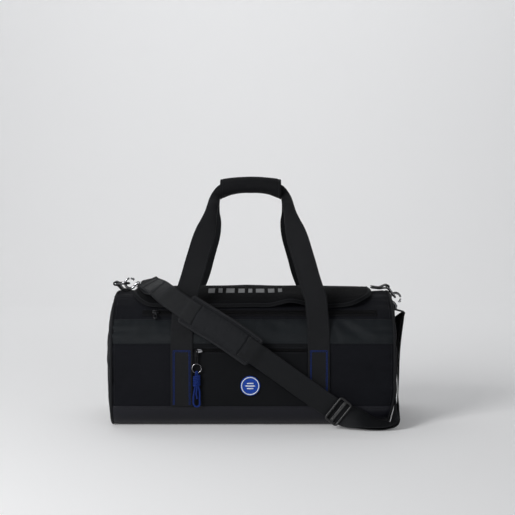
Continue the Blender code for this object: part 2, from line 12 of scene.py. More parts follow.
import bpy
import bmesh
import numpy as np
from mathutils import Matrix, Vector


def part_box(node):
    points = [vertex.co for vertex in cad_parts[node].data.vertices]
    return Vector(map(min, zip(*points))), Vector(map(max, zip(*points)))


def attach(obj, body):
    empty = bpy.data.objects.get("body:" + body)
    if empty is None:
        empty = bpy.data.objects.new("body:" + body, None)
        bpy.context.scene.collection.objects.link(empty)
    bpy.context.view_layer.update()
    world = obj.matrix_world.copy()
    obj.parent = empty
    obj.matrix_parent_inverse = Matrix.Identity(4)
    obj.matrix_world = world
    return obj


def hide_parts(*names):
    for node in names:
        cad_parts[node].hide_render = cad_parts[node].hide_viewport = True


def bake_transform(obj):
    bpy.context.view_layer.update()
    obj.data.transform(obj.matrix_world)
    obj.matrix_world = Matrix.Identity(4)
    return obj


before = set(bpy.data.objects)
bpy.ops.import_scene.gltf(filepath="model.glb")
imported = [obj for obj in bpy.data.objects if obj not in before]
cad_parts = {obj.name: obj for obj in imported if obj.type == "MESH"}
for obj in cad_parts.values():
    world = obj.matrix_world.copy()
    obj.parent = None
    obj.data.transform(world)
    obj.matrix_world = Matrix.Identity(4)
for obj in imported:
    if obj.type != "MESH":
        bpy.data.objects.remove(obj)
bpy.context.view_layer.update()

# ------------------------------------------------------------------ driving dimensions
HALF_LENGTH = 0.250
HALF_DEPTH = 0.125
BODY_HEIGHT = 0.235
CORNER_R = 0.035            # lower edges of the section
SHOULDER_Z = 0.110          # the wall starts to curve in here
SHOULDER_POWER = 2.3        # superellipse power of the curved top
WRAP_Z = 0.036              # top of the coated base
BAND_Z = (0.149, 0.192)     # lower and upper seam of the side bands
POCKET_ZIP_Z = 0.1378
MAIN_ZIP_Y = 0.0925         # distance of the main zip from the middle plane, on the front
WEB_WIDTH = 0.040
HANDLE_X = 0.123            # centre line of the sewn handle legs
HINGE_Z = 0.250             # the handles swing about this height
SHELL_X = HALF_LENGTH - 0.0012
OPENING_Y = (0.058, 0.062)  # top edges of the front and the back panel, from the middle plane
LID_Y = (-0.081, 0.068)     # front and back edge of the flap
LID_HALF_LENGTH = 0.214
LID_CORNER_R = 0.050
END_FULLNESS = 0.0095       # the right end stands this much fuller above the base


# ------------------------------------------------------------------ noise and small maths
def lattice(column, row, seed):
    """Repeatable value in -1..1 for each lattice point."""
    column, row = column.astype(np.int64), row.astype(np.int64)
    bits = (column * 374761393 + row * 668265263 + seed * 1274126177) & 0xFFFFFFFF
    bits = ((bits ^ (bits >> 13)) * 1274126177) & 0xFFFFFFFF
    return ((bits ^ (bits >> 16)) & 0xFFFFFF) / float(0xFFFFFF) * 2 - 1


def vnoise(x, y, seed=0):
    """Value noise in -1..1 with unit cells."""
    x, y = np.broadcast_arrays(np.asarray(x, float), np.asarray(y, float))
    column, row = np.floor(x), np.floor(y)
    u, v = x - column, y - row
    u = u * u * u * (u * (u * 6 - 15) + 10)
    v = v * v * v * (v * (v * 6 - 15) + 10)
    low = lattice(column, row, seed) * (1 - u) + lattice(column + 1, row, seed) * u
    high = lattice(column, row + 1, seed) * (1 - u) + lattice(column + 1, row + 1, seed) * u
    return low * (1 - v) + high * v


def fbm(x, y, seed):
    """Three octaves of value noise."""
    total, weights = 0.0, 0.0
    for i in range(3):
        weight = 0.5 ** i
        total = total + weight * vnoise(x * 2 ** i + 17.3 * i, y * 2 ** i - 9.1 * i, seed + i)
        weights += weight
    return total / weights


def smoothstep(start, end, x):
    t = np.clip((np.asarray(x, float) - start) / (end - start), 0, 1)
    return t * t * (3 - 2 * t)


def unit(v):
    return v / np.maximum(np.linalg.norm(v, axis=-1, keepdims=True), 1e-12)


def xyz(x, y, z):
    return np.stack(np.broadcast_arrays(x, y, z), -1)


def path_length(path):
    """Distance along a polyline at each of its points."""
    return np.concatenate([[0], np.cumsum(np.linalg.norm(np.diff(path, axis=0), axis=1))])


def interp_rows(at, stations, rows):
    return np.stack([np.interp(at, stations, column) for column in rows.T], -1)


def moving_average(values, width):
    padded = np.pad(values, width // 2, mode="edge")
    return np.convolve(padded, np.ones(width) / width, "valid")


def smooth_loop(path, times):
    for _ in range(times):
        path = (np.roll(path, 1, 0) + 2 * path + np.roll(path, -1, 0)) / 4
    return path


def resample(rows, step=None, count=None, closed=False):
    """Even stations along rows of x, y, z and any further columns, which are carried along."""
    rows = np.asarray(rows, float)
    if closed:
        rows = np.concatenate([rows, rows[:1]])
    length = path_length(rows[:, :3])
    if count is None:
        count = max(int(round(length[-1] / step)), 2)
    at = np.linspace(0, length[-1], count + 1)
    return interp_rows(at[:-1] if closed else at, length, rows)


def spline(keys, per):
    """Smooth curve through key rows, spaced by chord length, with per points to each span."""
    keys = np.asarray(keys, float)
    length = path_length(keys[:, :3])
    slope = np.zeros_like(keys)
    slope[1:-1] = (keys[2:] - keys[:-2]) / (length[2:] - length[:-2])[:, None]
    slope[0] = (keys[1] - keys[0]) / (length[1] - length[0])
    slope[-1] = (keys[-1] - keys[-2]) / (length[-1] - length[-2])
    t = (np.arange(per) / per)[:, None]
    spans = []
    for i in range(len(keys) - 1):
        chord = length[i + 1] - length[i]
        spans.append((2 * t ** 3 - 3 * t ** 2 + 1) * keys[i]
                     + (t ** 3 - 2 * t ** 2 + t) * chord * slope[i]
                     + (-2 * t ** 3 + 3 * t ** 2) * keys[i + 1]
                     + (t ** 3 - t ** 2) * chord * slope[i + 1])
    return np.concatenate(spans + [keys[-1:]])


# ------------------------------------------------------------------ body surface
FLAT_STEPS, CORNER_STEPS, WALL_STEPS, TOP_STEPS = 60, 80, 60, 900


def section_outline():
    """Half section as (y, z), from the bottom centre up the wall to the top centre."""
    flat_y = HALF_DEPTH - CORNER_R
    flat = np.arange(FLAT_STEPS) / FLAT_STEPS
    corner = np.pi / 2 * np.arange(CORNER_STEPS) / CORNER_STEPS
    wall = np.arange(WALL_STEPS) / WALL_STEPS
    top = np.pi / 2 * np.arange(TOP_STEPS + 1) / TOP_STEPS
    power = 2 / SHOULDER_POWER
    return np.concatenate([
        np.stack([flat_y * flat, 0 * flat], 1),
        np.stack([flat_y + CORNER_R * np.sin(corner), CORNER_R * (1 - np.cos(corner))], 1),
        np.stack([HALF_DEPTH + 0 * wall, CORNER_R + (SHOULDER_Z - CORNER_R) * wall], 1),
        np.stack([HALF_DEPTH * np.maximum(np.cos(top), 0) ** power,
                  SHOULDER_Z + (BODY_HEIGHT - SHOULDER_Z) * np.sin(top) ** power], 1)])


SECTION = section_outline()
SECTION_LENGTH = path_length(SECTION)
GIRTH = SECTION_LENGTH[-1]          # bottom centre to top centre
STATION = np.linspace(0, GIRTH, 1201)
STATION_YZ = interp_rows(STATION, SECTION_LENGTH, SECTION)
STATION_TANGENT = unit(np.stack(
    [moving_average(np.gradient(column, STATION), 9) for column in STATION_YZ.T], -1))


def girth_at_z(z):
    """Girth where the wall or the corner reaches height z."""
    return np.interp(z, SECTION[FLAT_STEPS:, 1], SECTION_LENGTH[FLAT_STEPS:])


def girth_at_top_y(y):
    """Girth where the curved top is y away from the middle plane."""
    first = FLAT_STEPS + CORNER_STEPS + WALL_STEPS
    return np.interp(-y, -SECTION[first:, 0], SECTION_LENGTH[first:])


WRAP_G = girth_at_z(WRAP_Z)
BAND_LOW_G, BAND_HIGH_G = girth_at_z(BAND_Z[0]), girth_at_z(BAND_Z[1])
ZIP_G = girth_at_top_y(MAIN_ZIP_Y)
FRONT_TOP_G, BACK_TOP_G = -girth_at_top_y(OPENING_Y[0]), girth_at_top_y(OPENING_Y[1])

# Soft diagonal creases: x, z at one end; x, z at the other; half width; height of the fold
CREASES = (
    (0.150, 0.196, 0.200, 0.156, 0.0085, -0.0024),
    (0.166, 0.194, 0.220, 0.164, 0.0070, 0.0018),
    (0.146, 0.190, 0.158, 0.146, 0.0080, -0.0016),
    (-0.150, 0.195, -0.205, 0.152, 0.0085, -0.0022),
    (-0.170, 0.194, -0.226, 0.168, 0.0070, 0.0016),
    (0.020, 0.194, 0.060, 0.176, 0.0080, -0.0016),
    (-0.050, 0.194, -0.085, 0.174, 0.0080, 0.0014),
    (0.205, 0.120, 0.236, 0.062, 0.0080, -0.0014),
    (-0.212, 0.112, -0.238, 0.058, 0.0080, -0.0014),
)
# Seams that draw the cloth in: girth, depth
SEAM_DIPS = ((BAND_LOW_G, 0.0007), (BAND_HIGH_G, 0.0008), (WRAP_G, 0.0006))


def plain_point(x, girth, lift=0.0):
    """Point on the plain section, raised by lift."""
    x, girth, lift = np.broadcast_arrays(*(np.asarray(v, float) for v in (x, girth, lift)))
    side = np.where(girth < 0, -1.0, 1.0)
    along = np.abs(girth)
    over = along > GIRTH
    side = np.where(over, -side, side)
    along = np.where(over, 2 * GIRTH - along, along)
    y, z = (np.interp(along, STATION, column) for column in STATION_YZ.T)
    along_y, along_z = (np.interp(along, STATION, column) for column in STATION_TANGENT.T)
    return np.stack([x, side * (y + along_z * lift), z - along_y * lift], -1)


def plain_normal(x, girth):
    return unit(plain_point(x, girth, 0.01) - plain_point(x, girth))


def relief(x, girth):
    """How far the cloth stands off the plain section."""
    x, girth = np.broadcast_arrays(np.asarray(x, float), np.asarray(girth, float))
    along = np.abs(girth)
    from_end = np.clip(HALF_LENGTH - np.abs(x), 0, None)
    above = smoothstep(WRAP_G - 0.012, WRAP_G + 0.03, along)
    wall = above * (1 - smoothstep(BAND_HIGH_G + 0.02, BAND_HIGH_G + 0.09, along))
    top = smoothstep(BAND_HIGH_G - 0.01, BAND_HIGH_G + 0.05, along)
    # fullness of the walls, drawn in at the end seams
    height = 0.0016 * wall * np.cos(np.pi * x / 0.56)
    height -= 0.0018 * np.exp(-(from_end / 0.007) ** 2)
    # gathers that fade away from the end seams
    phase = 2.2 * vnoise(girth * 26, 3.3, 5)
    fine_gather = 0.00075 * np.sin(2 * np.pi * girth / 0.021 + phase) * np.exp(-from_end / 0.020)
    wide_gather = 0.0011 * np.sin(2 * np.pi * girth / 0.052 + 2 * phase) * np.exp(-from_end / 0.045)
    height += above * (fine_gather + wide_gather)
    # wide and narrow rumples, strongest on the top
    height += above * 0.0019 * fbm(x / 0.085, girth / 0.050, 11) * (1 + 0.8 * top)
    warp = 0.4 * vnoise(x / .05, girth / .05, 9)
    height += above * 0.0010 * fbm(x / 0.035 + warp, girth / 0.018, 23) * (0.30 + 0.70 * top)
    height += top * 0.0014 * vnoise(x / 0.13, girth / 0.3, 31)
    for seam, depth in SEAM_DIPS:
        height -= depth * np.exp(-((along - seam) / 0.0022) ** 2)
    for x0, z0, x1, z1, half_width, fold in CREASES:
        g0 = girth_at_z(z0)
        run_x, run_g = x1 - x0, girth_at_z(z1) - g0
        part = ((x - x0) * run_x + (along - g0) * run_g) / (run_x * run_x + run_g * run_g)
        part = np.clip(part, 0, 1)
        away = np.hypot(x - x0 - part * run_x, along - g0 - part * run_g)
        fade = 0.35 + 0.65 * np.sin(np.pi * np.clip(part, 0.02, 0.98))
        height += np.where(girth < 0, fold, 0.7 * fold) * np.exp(-(away / half_width) ** 2) * fade
    # the main zip's track runs straight, so its slider can travel
    track = np.where(girth < 0, np.exp(-((along - ZIP_G) / 0.013) ** 4), 0.0)
    height = height * (1 - track) + 0.0002 * track
    # puckers along the upper band seams
    pucker = np.sin(2 * np.pi * x / 0.017 + 3 * vnoise(x / .03, 0.5, 41))
    height += above * 0.00035 * pucker * np.exp(-np.abs(along - BAND_HIGH_G) / 0.012)
    return height


def cloth_point(x, girth, lift=0.0):
    return plain_point(x, girth, np.asarray(lift) + relief(x, girth))


def cloth_row(start, end, lift, count):
    """Points and normals along the cloth between two (x, girth) places."""
    part = np.linspace(0, 1, count)
    x = start[0] + (end[0] - start[0]) * part
    girth = start[1] + (end[1] - start[1]) * part
    return cloth_point(x, girth, lift), plain_normal(x, girth)


# ------------------------------------------------------------------ mesh makers
# A part is (vertices, faces, UVs). Parts are joined into one named mesh.
MATERIALS = {}
MADE = []


def join(name, parts, mat):
    verts, faces, uvs, offset = [], [], [], 0
    for part_verts, part_faces, part_uvs in parts:
        verts.append(np.asarray(part_verts, float).reshape(-1, 3))
        uvs.append(np.asarray(part_uvs, np.float32).reshape(-1, 2))
        faces += [[int(i) + offset for i in face] for face in part_faces]
        offset += len(verts[-1])
    mesh = bpy.data.meshes.new(name)
    mesh.from_pydata(np.concatenate(verts).tolist(), [], faces)
    layer = mesh.uv_layers.new(name="UVMap")
    corner = np.zeros(len(mesh.loops), np.int32)
    mesh.loops.foreach_get("vertex_index", corner)
    layer.data.foreach_set("uv", np.concatenate(uvs)[corner].ravel())
    mesh.polygons.foreach_set("use_smooth", [True] * len(mesh.polygons))
    mesh.update()
    ob = bpy.data.objects.new(name, mesh)
    bpy.context.scene.collection.objects.link(ob)
    mesh.materials.append(MATERIALS[mat])
    MADE.append(ob)
    return ob


def grid_faces(rows, columns, offset=0, wrap_rows=False, wrap_columns=False, flip=False):
    """Quads over points laid out row by row."""
    i, j = np.meshgrid(np.arange(rows if wrap_rows else rows - 1),
                       np.arange(columns if wrap_columns else columns - 1), indexing="ij")
    i2, j2 = (i + 1) % rows, (j + 1) % columns
    faces = np.stack([i * columns + j, i2 * columns + j, i2 * columns + j2, i * columns + j2], -1)
    faces = faces.reshape(-1, 4) + offset
    return faces[:, ::-1] if flip else faces


def side_faces(border, offset):
    """Quads from a closed border to its copy offset further on."""
    following = np.roll(border, -1)
    return np.stack([following, border, border + offset, following + offset], -1)


def slab_part(top, bottom, uv, flip=False):
    """Closed thin solid between two point grids of the same layout."""
    rows, columns = top.shape[:2]
    count = rows * columns
    index = np.arange(count).reshape(rows, columns)
    border = np.concatenate([index[:, 0], index[-1, 1:], index[-2::-1, -1], index[0, -2:0:-1]])
    faces = np.concatenate([grid_faces(rows, columns), grid_faces(rows, columns, count, flip=True),
                            side_faces(border, count)])
    verts = np.concatenate([top.reshape(-1, 3), bottom.reshape(-1, 3)])
    return verts, faces[:, ::-1] if flip else faces, np.concatenate([uv.reshape(-1, 2)] * 2)


def face_towards(ob, polygon, direction):
    """Turn the mesh's faces over if the given polygon looks away from direction."""
    if np.dot(np.array(ob.data.polygons[polygon].normal), direction) < 0:
        ob.data.flip_normals()


def edged(a, b, step, rim):
    """Stations from a to b, closer together near both ends."""
    sign = 1 if b > a else -1
    count = max(int(abs(b - a) / step), 2)
    close = sign * rim * np.array([0, 0.12, 0.4, 0.85])
    middle = np.linspace(a + sign * rim * 1.6, b - sign * rim * 1.6, count + 1)
    return np.concatenate([a + close, middle, b - close[::-1]])


def round_off(x, a, b, radius):
    """1 in the middle, falling like a quarter circle to 0 at both ends of a..b."""
    inside = np.clip(np.minimum(x - min(a, b), max(a, b) - x) / radius, 0, 1)
    return np.sqrt(np.clip(1 - (1 - inside) ** 2, 0, 1))


def patch(name, mat, x_span, girth_span, lift, thick, step=0.0034, rim=0.0011, under=0.0,
          fullness=None):
    """A layer of cloth lying on the body between two x and two girths."""
    x, girth = np.meshgrid(edged(*x_span, step, rim), edged(*girth_span, step, rim), indexing="ij")
    crown = np.minimum(round_off(x, *x_span, rim), round_off(girth, *girth_span, rim))
    extra = fullness(x, girth) if fullness else 0.0
    top = cloth_point(x, girth, lift + thick * (0.35 + 0.65 * crown) + extra)
    bottom = cloth_point(x, girth, lift - under + extra)
    flip = girth_span[1] > girth_span[0]
    return join(name, [slab_part(top, bottom, np.stack([x, girth], -1), flip)], mat)


def tube_normals(path, closed):
    """Normals and binormals carried along a polyline without twist."""
    tangent = np.roll(path, -1, 0) - np.roll(path, 1, 0)
    if not closed:
        tangent[0], tangent[-1] = path[1] - path[0], path[-1] - path[-2]
    tangent = unit(tangent)
    start = np.array([0, 0, 1.0])
    if abs(np.dot(start, tangent[0])) > 0.9:
        start = np.array([1.0, 0, 0])
    normal = np.zeros_like(path)
    normal[0] = unit(start - tangent[0] * np.dot(start, tangent[0]))
    for i in range(1, len(path)):
        normal[i] = unit(normal[i - 1] - tangent[i] * np.dot(normal[i - 1], tangent[i]))
    if closed:
        # spread the mismatch at the join over the whole loop
        last = unit(normal[-1] - tangent[0] * np.dot(normal[-1], tangent[0]))
        twist = math.atan2(np.dot(np.cross(last, normal[0]), tangent[0]), np.dot(last, normal[0]))
        for i in range(len(path)):
            angle = twist * i / len(path)
            normal[i] = (normal[i] * math.cos(angle)
                         + np.cross(tangent[i], normal[i]) * math.sin(angle))
    return normal, np.cross(tangent, normal)


def tube_part(path, radius, sides, closed=False):
    path = np.asarray(path, float)
    count = len(path)
    normal, binormal = tube_normals(path, closed)
    radius = np.broadcast_to(np.asarray(radius, float), (count,))
    angle = np.arange(sides) * 2 * np.pi / sides
    ring = (normal[:, None] * np.cos(angle)[:, None] + binormal[:, None] * np.sin(angle)[:, None])
    verts = path[:, None] + ring * radius[:, None, None]
    uv = np.stack(np.meshgrid(path_length(path), angle * np.mean(radius), indexing="ij"), -1)
    faces = grid_faces(count, sides, wrap_rows=closed, wrap_columns=True, flip=True).tolist()
    if not closed:
        faces.append(list(reversed(range(sides))))
        faces.append(list(range((count - 1) * sides, count * sides)))
    return verts.reshape(-1, 3), faces, uv.reshape(-1, 2)


def tube(name, path, radius, mat, sides=14, closed=False):
    return join(name, [tube_part(path, radius, sides, closed)], mat)


def tubes(name, items, mat, sides=12):
    """Several tubes in one mesh, each given as (path, radius) or (path, radius, closed)."""
    return join(name, [tube_part(item[0], item[1], sides, *item[2:]) for item in items], mat)


def stitches(name, rows, mat="thread_black", pitch=0.0033, length=0.0025, radius=0.00036):
    """Thread lying on cloth, along rows of (points, outward normals)."""
    centres, along, normals = [], [], []
    for path, normal in rows:
        ends = resample(np.hstack([path, np.broadcast_to(normal, np.shape(path))]), step=pitch)
        middle = (ends[1:] + ends[:-1]) / 2
        centres.append(middle[:, :3])
        normals.append(middle[:, 3:])
        along.append(unit(ends[1:, :3] - ends[:-1, :3]))
    centres, along, normals = (np.concatenate(rows) for rows in (centres, along, normals))
    normals = unit(normals - along * np.sum(normals * along, -1, keepdims=True))
    across = np.cross(along, normals)
    count = len(centres)
    # five rings of six points to each stitch: place along it, height, thickness
    reach = np.array([-0.5, -0.36, 0, 0.36, 0.5])[:, None, None] * length
    height = np.array([-0.9, 0.35, 0.75, 0.35, -0.9])[:, None, None] * radius
    girth = np.array([0.45, 1, 1.05, 1, 0.45])[:, None, None] * radius
    angle = (np.arange(6) * np.pi / 3)[:, None]
    shift = vnoise(np.arange(count) * 7.7, 0, 3)[:, None, None, None] * 0.00012
    centres, along, normals, across = (v[:, None, None] for v in (centres, along, normals, across))
    verts = (centres + along * reach + normals * (height + girth * np.cos(angle))
             + across * (girth * np.sin(angle) + shift))
    one = grid_faces(5, 6, wrap_columns=True, flip=True).tolist()
    one += [list(reversed(range(6))), list(range(24, 30))]
    faces = [[i + 30 * stitch for i in face] for stitch in range(count) for face in one]
    uv = np.stack(np.broadcast_arrays(reach[:, :, 0], angle[:, 0] * radius), -1).reshape(-1, 2)
    return join(name, [(verts, faces, np.tile(uv, (count, 1)))], mat)


def coil(name, path, normals, across, pitch, half, radius):
    """Zip coil: short bowed rungs lying across the path."""
    rows = resample(np.hstack([path, normals, across]), step=pitch)
    reach = np.array([-1, -0.8, -0.3, 0.3, 0.8, 1])[:, None] * half
    height = np.array([-0.0005, 0.0001, 0.00045, 0.00045, 0.0001, -0.0005])[:, None]
    rungs = [(row[:3] + unit(row[6:]) * reach + unit(row[3:6]) * height, radius) for row in rows]
    return tubes(name, rungs, "zip_coil", sides=6)


def web_frame(path, across, index, outward):
    """Tangents, square width directions and normals; the normal at index looks outward."""
    along = unit(np.gradient(path, axis=0))
    across = unit(across - along * np.sum(across * along, 1, keepdims=True))
    normals = unit(np.cross(along, across))
    return along, across, -normals if np.dot(normals[index], outward) < 0 else normals


def web_profile(width, thick, count):
    """Flat cross-section with rounded edges: (across, out) pairs round the outline."""
    edge = thick / 2
    xs = np.linspace(-(width / 2 - edge), width / 2 - edge, count)
    turn = np.array([0.5, 1.05, math.pi / 2, 2.1, 2.65])
    round_edge = np.stack([-(width / 2 - edge) - edge * np.sin(turn), edge * np.cos(turn)], 1)
    top = np.stack([xs[::-1], edge + 0 * xs], 1)
    return np.concatenate([top, round_edge, -top, -round_edge])


def ribbon(name, path, across, normals, width, thick, mat, count, cup=None, wrinkle=None):
    """Webbing along a path, with count points over each flat side."""
    sections, ring = len(path), 2 * count + 10
    width, thick = (np.broadcast_to(np.asarray(v, float), (sections,)) for v in (width, thick))
    verts = []
    for i in range(sections):
        u, out = web_profile(width[i], thick[i], count).T
        if cup is not None:
            out = out + cup[i] * (1 - (2 * u / width[i]) ** 2)
        if wrinkle is not None:
            out = out + wrinkle(i, u)
        verts.append(path[i] + across[i] * u[:, None] + normals[i] * out[:, None])
    u = web_profile(np.mean(width), np.mean(thick), count)[:, 0]
    uv = np.stack(np.meshgrid(path_length(path), u, indexing="ij"), -1)[..., ::-1]
    # end cap: quads between the flat sides, then the two rounded edges
    cap = [[q, q + 1, 2 * count + 3 - q, 2 * count + 4 - q] for q in range(count - 1)]
    cap += [list(range(count - 1, count + 6)), list(range(2 * count + 4, ring)) + [0]]
    last = (sections - 1) * ring
    faces = grid_faces(sections, ring, wrap_columns=True).tolist() + cap
    faces += [[i + last for i in reversed(face)] for face in cap]
    middle = sections // 2
    along = path[middle + 1] - path[middle - 1]
    if np.dot(np.cross(along, across[middle]), normals[middle]) > 0:
        faces = [face[::-1] for face in faces]
    return join(name, [(np.array(verts), faces, uv)], mat)


def put(ob, body, slot, *replaces):
    """Fix an object to a moving body and hide the CAD pieces it stands for; the slot is not used.
    """
    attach(ob, body)
    if replaces:
        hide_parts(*replaces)


def put_between(ob, bodies, start, end, *replaces):
    """Bake the webbing's transform into its mesh and hide the CAD pieces it stands for; bodies,
    start and end are not used.
    """
    if replaces:
        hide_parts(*replaces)
    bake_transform(ob)


# ------------------------------------------------------------------ materials
class Graph:
    """Shader nodes of a material or a world, feeding its one shader."""

    def __init__(self, owner, shader="Principled BSDF"):
        owner.use_nodes = True
        self.tree = owner.node_tree
        self.shader = self.tree.nodes[shader]

    def feed(self, socket, value):
        if isinstance(value, bpy.types.NodeSocket):
            self.tree.links.new(value, socket)
        else:
            socket.default_value = (*value, 1.0) if isinstance(value, tuple) else value

    def shade(self, inputs):
        for key, value in inputs.items():
            self.feed(self.shader.inputs[key], value)

    def node(self, kind, inputs=(), **settings):
        node = self.tree.nodes.new("ShaderNode" + kind)
        for key, value in settings.items():
            setattr(node, key, value)
        for key, value in dict(inputs).items():
            self.feed(node.inputs[key], value)
        return node

    def math(self, operation, *values):
        return self.node("Math", enumerate(values), operation=operation).outputs[0]

    def separate(self, vector):
        return self.node("SeparateXYZ", {0: vector}).outputs

    def noise(self, vector, scale, detail=3.0, roughness=0.55):
        return self.node("TexNoise", {"Vector": vector, "Scale": scale, "Detail": detail,
                                      "Roughness": roughness}).outputs["Fac"]

    def mix(self, factor, a, b):
        return self.node("Mix", data_type="RGBA", inputs={0: factor, 6: a, 7: b}).outputs[2]

    def ramp(self, value, low, high, to_low=0.0, to_high=1.0):
        return self.node("MapRange", {"Value": value, "From Min": low, "From Max": high,
                                      "To Min": to_low, "To Max": to_high}).outputs["Result"]

    def bump(self, height, distance, strength=1.0, **normal):
        inputs = {"Height": height, "Distance": distance, "Strength": strength}
        if normal:
            inputs["Normal"] = normal["normal"]
        return self.node("Bump", inputs).outputs["Normal"]

    def wave(self, x, pitch):
        return self.math("SINE", self.math("MULTIPLY_ADD", x, 2 * math.pi / pitch, 0.0))


def new_material(name):
    MATERIALS[name] = bpy.data.materials.new(name)
    return Graph(MATERIALS[name])


def tone(colour, factor, lift=0.0):
    return tuple(c * factor + lift for c in colour)


def weave_height(g, weave, uv, pitch):
    """Height of the weave, about 0 to 1. U runs across webbing and V along it."""
    if weave == "grain":       # coated cloth: pebbled skin
        cells = g.node("TexVoronoi", {"Vector": uv, "Scale": 1.0 / pitch}, feature="F1")
        return g.math("SUBTRACT", 1.0, cells.outputs["Distance"])
    u, v, _ = g.separate(uv)
    if weave == "plain":
        product = g.math("MULTIPLY", g.wave(u, pitch), g.wave(v, pitch))
        return g.math("MULTIPLY_ADD", product, 0.5, 0.5)
    if weave == "rib":         # ribs along the length, fine picks across
        ribs = g.math("ABSOLUTE", g.wave(u, pitch * 2))
        bowed = g.math("MULTIPLY_ADD", g.math("ABSOLUTE", g.wave(u, pitch * 4)), 0.0006, v)
        picks = g.math("MULTIPLY_ADD", g.wave(bowed, pitch * 1.15), 0.2, 0.2)
        return g.math("ADD", g.math("MULTIPLY", ribs, 0.6), picks)
    if weave == "twill":
        slant = g.wave(g.math("ADD", u, g.math("MULTIPLY", v, 0.6)), pitch)
        cross = g.wave(v, pitch * 0.45)
        return g.math("ADD", g.math("MULTIPLY_ADD", slant, 0.38, 0.38),
                      g.math("MULTIPLY_ADD", cross, 0.12, 0.12))
    # braid: two crossing slants
    slants = [g.wave(g.math(way, u, g.math("MULTIPLY", v, 1.0)), pitch)
              for way in ("ADD", "SUBTRACT")]
    return g.math("MULTIPLY_ADD", g.math("MAXIMUM", *slants), 0.5, 0.5)


def cloth(name, colour, weave, pitch, roughness=0.78, bump=0.00018, sheen=0.012, specular=0.14,
          mottle=0.12):
    """Woven or coated cloth, mottled, with a little lint, paler worn edges, and painted highlight
    and shade following the weave.
    """
    g = new_material(name)
    coords = g.node("TexCoord").outputs
    uv, place = coords["UV"], coords["Object"]
    height = weave_height(g, weave, uv, pitch)
    clouds = g.noise(place, scale=9.0, detail=4.0, roughness=0.6)
    fine = g.noise(uv, scale=700.0, detail=2.0)
    lint = g.math("GREATER_THAN", g.noise(place, scale=420.0, detail=1.0), 0.79)
    # painted highlight on the weave's high points and painted shade in its hollows
    highlight = tuple(c * tint for c, tint in zip(colour, (1.25, 1.25, 1.3)))
    painted_weave_shade = g.mix(height, tone(colour, 0.78), highlight)
    mottled = g.mix(g.ramp(clouds, 0.32, 0.68, to_high=mottle), painted_weave_shade, tone(colour, 1.7, 0.0008))
    linty = g.mix(g.math("MULTIPLY", lint, 0.05), mottled, (0.12, 0.12, 0.12))
    edges = g.ramp(g.node("NewGeometry").outputs["Pointiness"], 0.52, 0.60, to_high=0.22)
    coarse = g.bump(g.noise(place, scale=55.0), distance=0.0014, strength=0.5)
    threads = g.math("ADD", height, g.math("MULTIPLY", fine, 0.35))
    g.shade({"Base Color": g.mix(edges, linty, tone(colour, 2.6, 0.004)),
             "Roughness": g.math("MULTIPLY_ADD", fine, 0.16, roughness - 0.08),
             "Specular IOR Level": specular,
             "Sheen Weight": sheen,
             "Sheen Roughness": 0.45,
             "Normal": g.bump(threads, distance=bump, normal=coarse)})


def hard(name, colour, roughness, metal=0.0, scratch=0.10, bump=0.00003, specular=0.5):
    """Plastic, paint or bare metal with faint scratches."""
    g = new_material(name)
    place = g.node("TexCoord").outputs["Object"]
    clouds = g.noise(place, scale=60.0, detail=4.0)
    fine = g.noise(place, scale=900.0, detail=2.0)
    wear = g.math("ADD", clouds, fine)
    g.shade({"Base Color": g.mix(g.ramp(clouds, 0.35, 0.7, to_high=0.35), colour,
                                 tone(colour, 0.78)),
             "Metallic": metal,
             "Roughness": g.math("MULTIPLY_ADD", wear, scratch, roughness - scratch),
             "Specular IOR Level": specular,
             "Normal": g.bump(fine, distance=bump, strength=0.5)})


def plated(name, bright, dark, roughness):
    """Plated metal with painted reflections: dark and bright bands, as if it mirrored dim and lit
    parts of a room, and painted shade at glancing angles.
    """
    g = new_material(name)
    place = g.node("TexCoord").outputs["Object"]
    normal_x, _, normal_z = g.separate(g.node("NewGeometry").outputs["Normal"])
    clouds = g.noise(place, scale=60.0)
    fine = g.noise(place, scale=900.0, detail=2.0)
    # painted reflection: bright and dark bands laid out by the surface's direction
    turn = g.math("MULTIPLY_ADD", normal_x, 1.4, g.math("MULTIPLY", clouds, 0.9))
    turn = g.math("ADD", g.math("MULTIPLY", normal_z, 2.3), turn)
    painted_reflection_bands = g.ramp(g.math("SINE", g.math("MULTIPLY", turn, 2.6)), -0.05, 0.50)
    # painted shade: the colour darkens where the surface turns to glancing angles
    rim = g.ramp(g.node("LayerWeight", {"Blend": 0.5}).outputs["Facing"], 0.22, 0.52)
    g.shade({"Base Color": g.mix(rim, g.mix(painted_reflection_bands, dark, bright), tone(dark, 0.5)),
             "Metallic": 1.0,
             "Specular IOR Level": 0.2,
             "Specular Tint": (0.10, 0.10, 0.11),
             "Roughness": g.math("MULTIPLY_ADD", fine, 0.12, roughness),
             "Normal": g.bump(fine, distance=0.00003, strength=0.5)})


